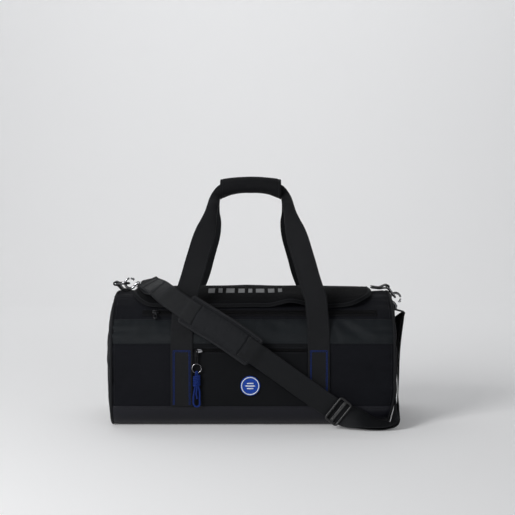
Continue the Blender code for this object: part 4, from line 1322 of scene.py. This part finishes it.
def build_pocket_pull():
    """Cord folded double through the bridge and bound round, with a split ring below."""
    x, y = PULL_X, -HALF_DEPTH - 0.0064
    top, bottom, half, bend = 0.1385, 0.1150, 0.0013, 0.0015
    up, down = np.linspace(0, 1, 22), np.linspace(1, 0, 22)
    turn = np.linspace(0, math.pi, 12)[1:-1]

    def strand(part, side, sway):
        return xyz(x + side * (half + 0.0006 * np.sin(part * math.pi)), y + sway,
                   bottom + (top - bottom) * part)

    path = np.concatenate([
        strand(up, -1, 0.0004 * np.sin(up * 9)),
        xyz(x - half * np.cos(turn), y, top + bend * np.sin(turn)),
        strand(down, 1, -0.0004 * np.sin(down * 8)),
        xyz(x + half * np.cos(turn), y, bottom - bend * np.sin(turn))])
    angle = np.linspace(0, 2 * math.pi * 4, 80)
    binding = xyz(x + 0.0030 * np.cos(angle), y + 0.0019 * np.sin(angle),
                  0.1268 + 0.00085 * angle / (2 * math.pi) * 1.9)
    put(tubes("pocket_cord_loop", [(path, 0.00105, True), (binding, 0.00080)], "cord_black",
              sides=10), "pocket_cord", "black_cord", "pocket_pull_cord")
    # split ring: two turns of wire
    angle = np.linspace(0, 4 * math.pi, 120)
    ring = xyz(x + 0.0082 * np.cos(angle),
               y - 0.0001 + (angle / (4 * math.pi) - 0.5) * 0.0013,
               0.1065 + 0.0082 * np.sin(angle))
    put(tube("split_ring_coil", ring, 0.00078, "dark_nickel", sides=12),
        "ring", "nickel", "split_ring")


def build_lanyard():
    """Knotted head and a long hanging loop of blue cord."""
    x, y = PULL_X + 0.0002, -HALF_DEPTH - 0.0078
    radius = 0.00165
    top, knot_top, knot_bottom, loop_end = 0.0985, 0.0935, 0.0745, 0.0360
    spread, strand_top, bend_z = 0.0056, knot_bottom + 0.002, loop_end + 0.008

    def strand(part, side, sway_rate):
        gap = 0.0022 + 0.0034 * np.sin(np.minimum(part * 1.5, 1) * math.pi / 2)
        return xyz(x + side * gap + 0.0004 * np.sin(part * sway_rate),
                   y - side * 0.0003 * np.sin(part * 7),
                   strand_top + (bend_z - strand_top) * part)

    turn = np.linspace(0, math.pi, 16)[1:-1]
    loop = np.concatenate([
        strand(np.linspace(0, 1, 40), -1, 5),
        xyz(x - spread * np.cos(turn), y, bend_z - spread * np.sin(turn) - 0.0005),
        strand(np.linspace(1, 0, 40), 1, 6)])
    part = np.linspace(0, 1, 26)
    inner = xyz(x + 0.0006 * np.sin(part * 8), y - 0.0012,
                strand_top + (0.050 - knot_bottom) * part)
    items = [(resample(loop, count=110), radius), (inner, radius * 0.95)]
    # snake knot: crossing bights
    bights = 6
    angle = np.linspace(-0.5, math.pi * 0.72, 16)
    for i in range(bights):
        z = knot_top - (knot_top - knot_bottom) * (i + 0.5) / bights
        for side in (-1, 1):
            bight = xyz(x + side * 0.0052 * np.cos(angle), y - 0.0022 * np.sin(angle),
                        z + side * 0.0011 * np.cos(angle) + 0.0004)
            items.append((bight, radius * 0.93))
    # two strands through the knot, joined over the top
    part = np.linspace(0, 1, 18)
    for side in (-1, 1):
        core = xyz(x + side * (0.0012 + 0.0010 * np.sin(part * math.pi)), y,
                   top + 0.0010 - (top - knot_bottom) * part)
        items.append((core, radius * 0.9))
    turn = np.linspace(0, math.pi, 12)
    items.append((xyz(x - 0.0014 * np.cos(turn), y, top + 0.0010 + 0.0012 * np.sin(turn)),
                  radius * 0.9))
    put(tubes("lanyard_cord", items, "cord_blue"), "lanyard", "blue_cord", "lanyard")


# ------------------------------------------------------------------ shoulder strap
# From the left hook down across the front and round the right end: x, y, z, width direction
STRAP_KEYS = (
    (-0.1925, -0.0215, 0.2530, 0.775, 0.50, 0.385),
    (-0.1720, -0.0720, 0.2490, 0.640, 0.45, 0.560),
    (-0.1460, -0.1190, 0.2345, 0.600, 0.12, 0.790),
    (-0.1168, -0.1280, 0.2155, 0.590, 0.06, 0.800),
    (-0.0850, -0.1350, 0.1960, 0.590, 0.08, 0.800),
    (-0.0400, -0.1430, 0.1690, 0.590, 0.05, 0.800),
    (0.0060, -0.1475, 0.1375, 0.600, 0.03, 0.800),
    (0.0500, -0.1460, 0.1060, 0.600, 0.02, 0.800),
    (0.1000, -0.1440, 0.0700, 0.600, 0.02, 0.800),
    (0.1660, -0.1440, 0.0255, 0.610, 0.05, 0.790),
    (0.1950, -0.1470, 0.0175, 0.330, 0.66, 0.550),
    (0.2200, -0.1465, 0.0100, 0.080, 0.93, 0.280),
    (0.2400, -0.1430, 0.0070, 0.010, 0.99, 0.090),
    (0.2560, -0.1390, 0.0095, -0.120, 0.98, -0.050),
    (0.2620, -0.1240, 0.0270, -0.050, 0.88, -0.420),
    (0.2652, -0.1071, 0.0450, 0.060, 0.72, -0.660),
    (0.2692, -0.0850, 0.0690, 0.050, 0.62, -0.760),
    (0.2725, -0.0580, 0.1000, 0.000, 0.68, -0.700),
    (0.2770, -0.0300, 0.1350, -0.080, 0.75, -0.640),
    (0.2808, -0.0020, 0.1830, -0.350, 0.93, -0.100),
)
STRAP_THICK = 0.0018


class StrapPath:
    """Centre line of the strap, with the width and outward direction of the webbing."""

    def __init__(self):
        rows = resample(spline(STRAP_KEYS, 30), step=0.0025)
        self.centre = rows[:, :3]
        self.along, self.across, self.normal = web_frame(
            self.centre, unit(rows[:, 3:]), len(rows) // 3, (0, -1, 0))
        self.length = path_length(self.centre)

    def near(self, point):
        return int(np.argmin(np.linalg.norm(self.centre - np.asarray(point), axis=1)))

    def at(self, length):
        """Centre, width direction and normal at a distance along the strap."""
        return (interp_rows(length, self.length, self.centre),
                unit(interp_rows(length, self.length, self.across)),
                unit(interp_rows(length, self.length, self.normal)))

    def cut(self, start, end):
        length = np.linspace(start, end, max(int((end - start) / 0.0022), 3))
        return *self.at(length), length

    def eye(self, end):
        """Eye bar at end 0 (left) or -1 (right): its centre and the direction off the strap."""
        outward = self.along[end] if end else -self.along[end]
        return self.centre[end] + outward * 0.0042, outward

    def eye_turn(self, end):
        """Half turn of the webbing round the eye bar, outer side first."""
        bar, outward = self.eye(end)
        angle = np.linspace(math.pi / 2, -math.pi / 2, 12)[:, None]
        return bar + 0.0029 * (outward * np.cos(angle) + self.normal[end] * np.sin(angle))


STRAP = StrapPath()
PAD_START = STRAP.length[STRAP.near(STRAP_KEYS[3][:3])]
PAD_END = STRAP.length[STRAP.near(STRAP_KEYS[6][:3])] + 0.003
ADJUSTER = STRAP.near((0.1568, -0.144, 0.0317))
ADJUSTER_LENGTH = STRAP.length[ADJUSTER]
STRAP_END = STRAP.length[-1]
PAD_HALF_WIDTH = 0.0265


def build_left_run():
    """Webbing from the pad round the left eye; the return layer lies under the upper one."""
    centre, across, normals, length = STRAP.cut(0.0, PAD_START + 0.032)
    # the upper layer lies on the pad's end before it enters the sleeve
    lift = (0.0013 + 0.0052 * smoothstep(PAD_START - 0.014, PAD_START + 0.004, length)
            - 0.0034 * smoothstep(PAD_START + 0.024, PAD_START + 0.030, length)
            - 0.0035 * np.sin(np.clip(length / PAD_START, 0, 1) * np.pi)
            + 0.0006 * vnoise(length / 0.03, 0, 101))
    upper = centre + normals * lift[:, None]
    under_centre, under_across, under_normals, under = STRAP.cut(0.0, 0.062)
    part = np.clip(under / 0.062, 0, 1)
    sag = 0.0014 + 0.0038 * np.sin(part * np.pi) ** 1.2
    shift = 0.0030 * np.sin(part * np.pi * 0.9)
    lower = under_centre - under_normals * sag[:, None] - under_across * shift[:, None]
    turn = STRAP.eye_turn(0)
    path = np.concatenate([upper[::-1], turn, lower[1:]])
    widths = np.concatenate([across[::-1], np.repeat(STRAP.across[:1], len(turn), 0),
                             under_across[1:]])
    middle = len(upper) // 2
    _, widths, path_normals = web_frame(path, widths, middle, normals[middle])
    ob = ribbon("strap_left_web", path, widths, path_normals, WEB_WIDTH, STRAP_THICK,
                "strap_webbing", count=16)
    bodies = ("strap", "left_hook")
    start = tuple(STRAP.centre[0] + STRAP.along[0] * 0.055)
    end = tuple(STRAP.centre[0] + STRAP.along[0] * 0.004)
    put_between(ob, bodies, start, end, "strap_left_run")
    sewn = upper + normals * 0.0010
    rows = [(sewn + across * edge * (WEB_WIDTH / 2 - 0.0030), normals) for edge in (-1, 1)]
    for station in (0.014, 0.018, 0.056, 0.060):
        i = int(np.argmin(np.abs(length - station)))
        rows.append((np.array([sewn[i] - across[i] * 0.0175, sewn[i] + across[i] * 0.0175]),
                     normals[i]))
    put_between(stitches("strap_left_thread", rows), bodies, start, end)


def build_pad_cloth():
    """Shoulder pad, with a raised sleeve along its middle."""
    stations = edged(PAD_START, PAD_END, (PAD_END - PAD_START) / 100, 0.0040)
    centre, across, normals = STRAP.at(stations)
    widths = edged(-1, 1, 2 / 30, 0.10)
    length, v = np.meshgrid(stations, widths, indexing="ij")
    from_start, from_end = length - PAD_START, PAD_END - length
    off_centre = np.abs(v)
    rim = np.minimum(round_off(length, PAD_START, PAD_END, 0.0070), round_off(v, -1, 1, 0.26))
    channel = np.exp(-((off_centre - 0.80) / 0.030) ** 2) * 0.0011
    end_seams = (np.exp(-((from_start - 0.0075) / 0.0013) ** 2)
                 + np.exp(-((from_end - 0.0075) / 0.0013) ** 2)) * 0.0010
    sleeve = (smoothstep(0.0262, 0.0282, np.minimum(from_start, from_end))
              * (1 - smoothstep(0.79, 0.83, off_centre)))
    puff = (0.0030 * rim ** 0.8 + 0.0010 * np.cos(v * np.pi / 2) * rim - channel - end_seams
            + sleeve * 0.0030 + 0.0006 * fbm(length / 0.03, v * 1.6, 111) * rim)
    to_end = np.abs((length - (PAD_START + PAD_END) / 2) / ((PAD_END - PAD_START) / 2))
    narrowing = 1 - 0.10 * np.clip(np.clip(to_end, 0, 1) - 0.93, 0, 1) / 0.07
    middle = centre[:, None] + across[:, None] * (v * PAD_HALF_WIDTH * narrowing)[..., None]
    top = middle + normals[:, None] * (0.0006 + puff)[..., None]
    bottom = middle - normals[:, None] * (0.0012 + 0.0022 * rim)[..., None]
    uv = np.stack([v * PAD_HALF_WIDTH, length], -1)
    ob = join("shoulder_pad_cloth", [slab_part(top, bottom, uv)], "pad_fabric")
    face_towards(ob, (len(stations) // 2) * (len(widths) - 1) + len(widths) // 2,
                 normals[len(stations) // 2])
    free = (rim * (1 - np.exp(-((off_centre - 0.80) / 0.05) ** 2))
            * smoothstep(0.006, 0.012, np.minimum(from_start, from_end)))
    settle(ob, np.concatenate([free.ravel(), np.zeros(free.size)]), pressure=3.0, scale=10,
           cap=0.0026, stretch=0.03)
    put(ob, "strap", "padding_fabric", "shoulder_pad")


def build_pad_trim():
    """Rolled binding round the pad's edge, and its stitching."""
    centre, across, normals = STRAP.at(np.linspace(PAD_START + 0.004, PAD_END - 0.004, 60))
    reach = across * PAD_HALF_WIDTH * 0.98
    path = np.concatenate([centre + reach, (centre - reach)[::-1]])
    out = np.concatenate([normals, normals[::-1]])
    loop = resample(np.hstack([path + out * 0.0007, out]), count=260, closed=True)
    path = smooth_loop(loop[:, :3], 3) + 0.0004 * loop[:, 3:]
    put(tube("shoulder_pad_piping", path, 0.0024, "pad_binding", closed=True),
        "strap", "padding_fabric")
    rows = [(centre + across * PAD_HALF_WIDTH * offset + normals * 0.0034, normals)
            for offset in (-0.84, 0.84)]
    v = np.linspace(-0.74, 0.74, 12)[:, None]
    for station in (PAD_START + 0.0305, PAD_END - 0.0305):
        place, width, normal = STRAP.at(station)
        height = 0.0073 + 0.0010 * np.cos(v * np.pi / 2)
        rows.append((place + width * (v * PAD_HALF_WIDTH) + normal * height, normal))
    put(stitches("shoulder_pad_thread", rows, pitch=0.0036, length=0.0027, radius=0.0004),
        "strap", "padding_fabric")


def build_front_run():
    """Webbing from inside the pad's sleeve to the adjuster."""
    centre, across, normals, length = STRAP.cut(PAD_END - 0.032, ADJUSTER_LENGTH + 0.004)
    lift = (0.0052 * (1 - smoothstep(PAD_END - 0.004, PAD_END + 0.016, length))
            - 0.0034 * (1 - smoothstep(PAD_END - 0.030, PAD_END - 0.024, length))
            + 0.0004 * vnoise(length / 0.04, 0, 121))
    ob = ribbon("strap_front_web", centre + normals * lift[:, None], across, normals, WEB_WIDTH,
                STRAP_THICK, "strap_webbing", count=16)
    put(ob, "strap", "webbing", "strap_front_run")


def build_lower_run():
    """Doubled webbing from the adjuster round the corner to the right eye and back."""
    def loose(length, start):
        return (smoothstep(start, ADJUSTER_LENGTH + 0.03, length)
                * (1 - smoothstep(STRAP_END - 0.020, STRAP_END, length)))

    centre, across, normals, length = STRAP.cut(ADJUSTER_LENGTH - 0.006, STRAP_END)
    slack = loose(length, ADJUSTER_LENGTH - 0.006)
    lift = 0.0012 + 0.0016 * slack + 0.0006 * vnoise(length / 0.05, 0, 131) * slack
    outer = centre + normals * lift[:, None]
    under_centre, under_across, under_normals, under = STRAP.cut(ADJUSTER_LENGTH - 0.004,
                                                                 STRAP_END)
    slack = loose(under, ADJUSTER_LENGTH)
    shift = 0.0012 * slack * vnoise(under / 0.06, 3, 133)
    inner = (under_centre - under_normals * (0.0012 + 0.0006 * slack)[:, None]
             + under_across * shift[:, None])
    turn = STRAP.eye_turn(-1)
    path = np.concatenate([outer, turn, inner[-2::-1]])
    widths = np.concatenate([across, np.repeat(STRAP.across[-1:], len(turn), 0),
                             under_across[-2::-1]])
    _, widths, path_normals = web_frame(path, widths, 5, normals[5])
    ob = ribbon("strap_lower_web", path, widths, path_normals, WEB_WIDTH, STRAP_THICK,
                "strap_webbing", count=16)
    put_between(ob, ("strap", "right_hook"),
                tuple(STRAP.centre[-1] - STRAP.along[-1] * 0.065),
                tuple(STRAP.centre[-1] - STRAP.along[-1] * 0.004),
                "strap_lower_run", "strap_return_run")


# ------------------------------------------------------------------ hardware
def rounded_rect(half_width, half_height, radius):
    """Outline of a rounded rectangle, seven points to each corner."""
    points = []
    for sign_x, sign_y, start in ((1, 1, 0), (-1, 1, 90), (-1, -1, 180), (1, -1, 270)):
        angle = np.radians(start + np.linspace(0, 90, 7))
        points.append(np.stack([sign_x * (half_width - radius) + radius * np.cos(angle),
                                sign_y * (half_height - radius) + radius * np.sin(angle)], 1))
    return np.concatenate(points)


def build_adjuster():
    """Strap adjuster: a rounded frame and a ribbed centre bar."""
    low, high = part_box("strap_buckle")
    centre = np.array((low + high) / 2)
    front = np.array([0, -1.0, 0])
    tangent = STRAP.along[ADJUSTER]
    tangent = unit(tangent - front * np.dot(tangent, front))
    width = unit(np.cross(front, tangent))
    if width[2] < 0:
        width = -width
    lean = math.radians(7)
    along = tangent * math.cos(lean) - width * math.sin(lean)
    across = width * math.cos(lean) + tangent * math.sin(lean)
    outline = rounded_rect(0.0118, 0.0228, 0.0036)
    path = centre + along * outline[:, :1] + across * outline[:, 1:] + front * 0.0002
    items = [(resample(path, count=90, closed=True), 0.0021, True)]
    reach = np.linspace(-0.0222, 0.0222, 14)[:, None]
    for offset in (-0.0016, 0.0, 0.0016):
        items.append((centre + across * reach + along * offset + front * 0.0004, 0.0015))
    put(tubes("adjuster_frame", items, "black_acetal", sides=14),
        "buckle", "black_hardware", "strap_buckle")


HOOK_R = 0.0095
# Swivel barrel: distance from the ring's centre, radius
BARREL = np.array([
    (0.0128, 0.0022), (0.0132, 0.0033), (0.0146, 0.0036), (0.0152, 0.0030), (0.0158, 0.0036),
    (0.0172, 0.0036), (0.0176, 0.0027), (0.0190, 0.0027), (0.0197, 0.0034), (0.0204, 0.0030)])


def build_hook(tag, end, out, up, ring):
    """Snap hook: ring is the centre of its open ring, out points to the strap."""
    out, up, ring = (np.asarray(v, float) for v in (out, up, ring))

    def arc(start, stop, count):
        angle = np.radians(np.linspace(start, stop, count))[:, None]
        return ring + out * HOOK_R * np.cos(angle) + up * HOOK_R * np.sin(angle)

    # shank, throat and open ring, thinner at the nose
    shank = [ring + out * 0.0150, ring + out * 0.0130 - up * 0.0004,
             ring + out * 0.0108 - up * 0.0018]
    path = resample(np.concatenate([shank, arc(-20, -262, 46)]), count=80)
    radius = np.interp(np.linspace(0, 1, 81), [0, 0.12, 0.3, 0.75, 1.0],
                       [0.0026, 0.0025, 0.0024, 0.0023, 0.0017])
    parts = [tube_part(path, radius, 16), tube_part(ring + out * BARREL[:, :1], BARREL[:, 1], 20)]
    put(join(tag + "_hook_metal", parts, "dark_nickel"),
        tag + "_hook", "nickel", tag + "_hook_body")

    # gate with thumb stud
    gate = arc(38, 84, 18)
    radius = np.interp(np.linspace(0, 1, 18), [0, 0.2, 0.8, 1], [0.0019, 0.0016, 0.0016, 0.0014])
    reach = np.array([0.0008, 0.0018, 0.0024, 0.0028])[:, None]
    stud = gate[6] + unit(gate[6] - ring) * reach
    items = [(gate, radius), (stud, np.array([0.0012, 0.0013, 0.0016, 0.0011]))]
    put(tubes(tag + "_gate_metal", items, "dark_nickel", sides=14),
        tag + "_gate", "nickel", tag + "_hook_gate")

    # eye holding the webbing
    bar, _ = STRAP.eye(end)
    width = STRAP.across[end]
    half_bar = width * 0.0213
    near = ring + out * 0.0222
    side = unit(width - out * np.dot(width, out)) * 0.0046
    part_way = (near - bar) * 0.12
    loop = np.array([bar - half_bar, bar - half_bar + part_way, near - side, near + side,
                     bar + half_bar + part_way, bar + half_bar])
    path = smooth_loop(resample(loop, count=120, closed=True), 10)
    put(tube(tag + "_eye_metal", path, 0.0017, "black_hardware", closed=True),
        tag + "_hook", "black_hardware", tag + "_hook_eye")


def build_d_ring(tag, bar, tip):
    """D-ring: a straight bar along y and a bow out to the tip."""
    reach = np.linalg.norm(tip - bar)
    axis = (tip - bar) / reach
    half = np.array([0, 0.0150, 0])
    angle = np.radians(np.linspace(-90, 90, 40))[:, None]
    bow = bar + axis * (0.006 + (reach - 0.006) * np.cos(angle)) + half * np.sin(angle)
    path = np.concatenate([[bar - half], bow, [bar + half]])
    path = smooth_loop(resample(path, count=130, closed=True), 4)
    put(tube(tag + "_d_metal", path, 0.0019, "dark_nickel", sides=16, closed=True),
        tag + "_d", "nickel", tag + "_d_ring")


def build_ring_tab(tag, bar, back):
    """Webbing folded over the ring's bar, its tail running back along the bag."""
    back = unit(np.array(back))
    up = np.array([-back[2], 0, back[0]]) * np.sign(back[0])
    radius, tail = 0.0034, 0.030
    fall = bar[2] - 0.2395

    def half_gap(distance):
        return radius * (1 - 0.55 * smoothstep(0.0, 0.014, distance))

    def drop(distance):
        return fall * smoothstep(0.002, 0.016, distance)

    inward, outward = (tail * np.linspace(*span, 16)[:, None] for span in ((1, 0), (0, 1)))
    angle = np.radians(np.linspace(90, 270, 14)[1:-1])[:, None]
    path = np.concatenate([
        bar + back * inward + up * (half_gap(inward) - drop(inward)),
        bar + up * radius * np.sin(angle) + back * radius * np.cos(angle),
        bar + back * outward + up * (-half_gap(outward) - drop(outward))])
    _, across, normals = web_frame(path, np.broadcast_to([0.0, 1.0, 0.0], path.shape), 4, up)
    ob = ribbon(tag + "_tab_web", path, across, normals, 0.0255, 0.0016, "strap_webbing",
                count=12)
    put(ob, "bag", "webbing", tag + "_ring_tab")
    rows = []
    for distance in (0.010, 0.013, 0.026):
        centre = bar + back * distance + up * (half_gap(distance) + 0.0010 - drop(distance))
        rows.append((np.array([centre - [0, 0.009, 0], centre + [0, 0.009, 0]]), up))
    put(stitches(tag + "_tab_thread", rows), "bag", "webbing")


def build_board():
    """Stiffening board in the base, with rounded corners and eased edges."""
    low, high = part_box("base_board")
    size, centre = high - low, (low + high) / 2
    bm = bmesh.new()
    bmesh.ops.create_cube(bm, size=1.0)
    for vert in bm.verts:
        vert.co = Vector((centre.x + vert.co.x * size.x, vert.co.y * size.y,
                          centre.z + vert.co.z * size.z))

    def upright(edge):
        return abs(edge.verts[0].co.z - edge.verts[1].co.z) > 0.001

    bmesh.ops.bevel(bm, geom=[edge for edge in bm.edges if upright(edge)], offset=0.018,
                    segments=8, affect="EDGES", profile=0.5)
    sharp = [edge for edge in bm.edges if not upright(edge) and len(edge.link_faces) == 2
             and edge.calc_face_angle(0) > 1.0]
    bmesh.ops.bevel(bm, geom=sharp, offset=0.0007, segments=2, affect="EDGES")
    mesh = bpy.data.meshes.new("base_board_sheet")
    bm.to_mesh(mesh)
    bm.free()
    ob = bpy.data.objects.new("base_board_sheet", mesh)
    bpy.context.scene.collection.objects.link(ob)
    mesh.materials.append(MATERIALS["stiffener"])
    put(ob, "bag", "board", "base_board")


# ------------------------------------------------------------------ stage
def build_floor():
    """Floor with a gentle sweep up behind the bag."""
    bend_y, bend_r, floor_z = 2.2, 1.6, -0.0002
    angle = np.linspace(0, math.pi / 2, 16)
    y = np.concatenate([[-4.0, bend_y], bend_y + bend_r * np.sin(angle), [bend_y + bend_r]])
    z = np.concatenate([[0.0, 0.0], bend_r * (1 - np.cos(angle)), [7.0]])
    verts = xyz(np.linspace(-6, 6, 3)[:, None], y, z + floor_z)
    ob = join("studio_sweep", [(verts, grid_faces(3, len(y)), verts[..., :2])], "studio_floor")


def build_world():
    """Soft sky, brighter near the horizon."""
    world = bpy.data.worlds.new("studio")
    bpy.context.scene.world = world
    g = Graph(world, "Background")
    height = g.separate(g.node("TexCoord").outputs["Generated"])[2]
    g.shade({"Color": (0.95, 0.97, 1.0),
             "Strength": g.ramp(height, 0.05, 0.75, to_low=0.40, to_high=0.14)})


def area_light(name, location, target, size, power):
    light = bpy.data.lights.new(name, "AREA")
    light.shape = "RECTANGLE"
    light.size, light.size_y = size
    light.energy = power
    ob = bpy.data.objects.new(name, light)
    bpy.context.scene.collection.objects.link(ob)
    ob.location = location
    ob.rotation_euler = (Vector(target) - Vector(location)).to_track_quat("-Z", "Y").to_euler()


def build_lights():
    area_light("key", location=(-1.55, -1.7, 1.35), target=(0, 0, 0.2), size=(0.9, 0.9), power=40)
    area_light("fill", location=(2.4, -2.2, 1.2), target=(0, 0, 0.2), size=(1.8, 1.8), power=5)
    area_light("top", location=(-0.6, 1.2, 3.0), target=(0, 0.7, 0), size=(2.6, 2.2), power=15)
    area_light("back", location=(0.0, 1.6, 2.8), target=(0, 3.8, 1.0), size=(4.0, 1.4), power=26)


def build_camera():
    scene = bpy.context.scene
    camera = bpy.data.cameras.new("camera")
    ob = bpy.data.objects.new("camera", camera)
    scene.collection.objects.link(ob)
    camera.sensor_width = 36.0
    camera.lens = 78.3
    camera.clip_end = 50
    ob.location = (0.0130, -2.125, 0.400)
    tilt_down = math.radians(2.72)
    ob.rotation_euler = (math.pi / 2 - tilt_down, 0, 0)
    scene.camera = ob
    scene.view_settings.view_transform = "Standard"
    scene.view_settings.look = "None"
    scene.view_settings.exposure = 0.0


# ------------------------------------------------------------------ assembly
make_materials()
build_panels()
build_base_and_bands()
build_ends()
build_pocket()
build_badge()
build_handle("front", -1)
build_handle("back", 1)
build_grip_half("grip_rear", 1, "back_handle", "grip_sleeve")
build_grip_half("grip_front", -1, "grip_flap", "grip_flap")
build_lid_cloth()
build_lid_binding()
build_lid_print()
build_main_zip()
fill_out_right_end()
build_main_slider()
build_pocket_slider()
build_pocket_pull()
build_lanyard()
build_left_run()
build_pad_cloth()
build_pad_trim()
build_front_run()
build_lower_run()
build_adjuster()
build_hook("left", 0, out=(1, 0, 0), up=(0, 0, 1), ring=(-0.2290, 0, 0.2500))
build_hook("right", -1, out=(0, 0, -1), up=(1, 0, 0), ring=(0.2755, 0, 0.2220))
for tag, bar, tip, back in (
        ("left", (-0.2560, 0, 0.2500), (-0.2310, 0, 0.2500), (1.0, 0, -0.10)),
        ("right", (0.2590, 0, 0.2440), (0.2745, 0, 0.2235), (-1.0, 0, 0.12))):
    build_d_ring(tag, np.array(bar), np.array(tip))
    build_ring_tab(tag, np.array(bar), back)
build_board()
build_floor()
build_world()
build_lights()
build_camera()
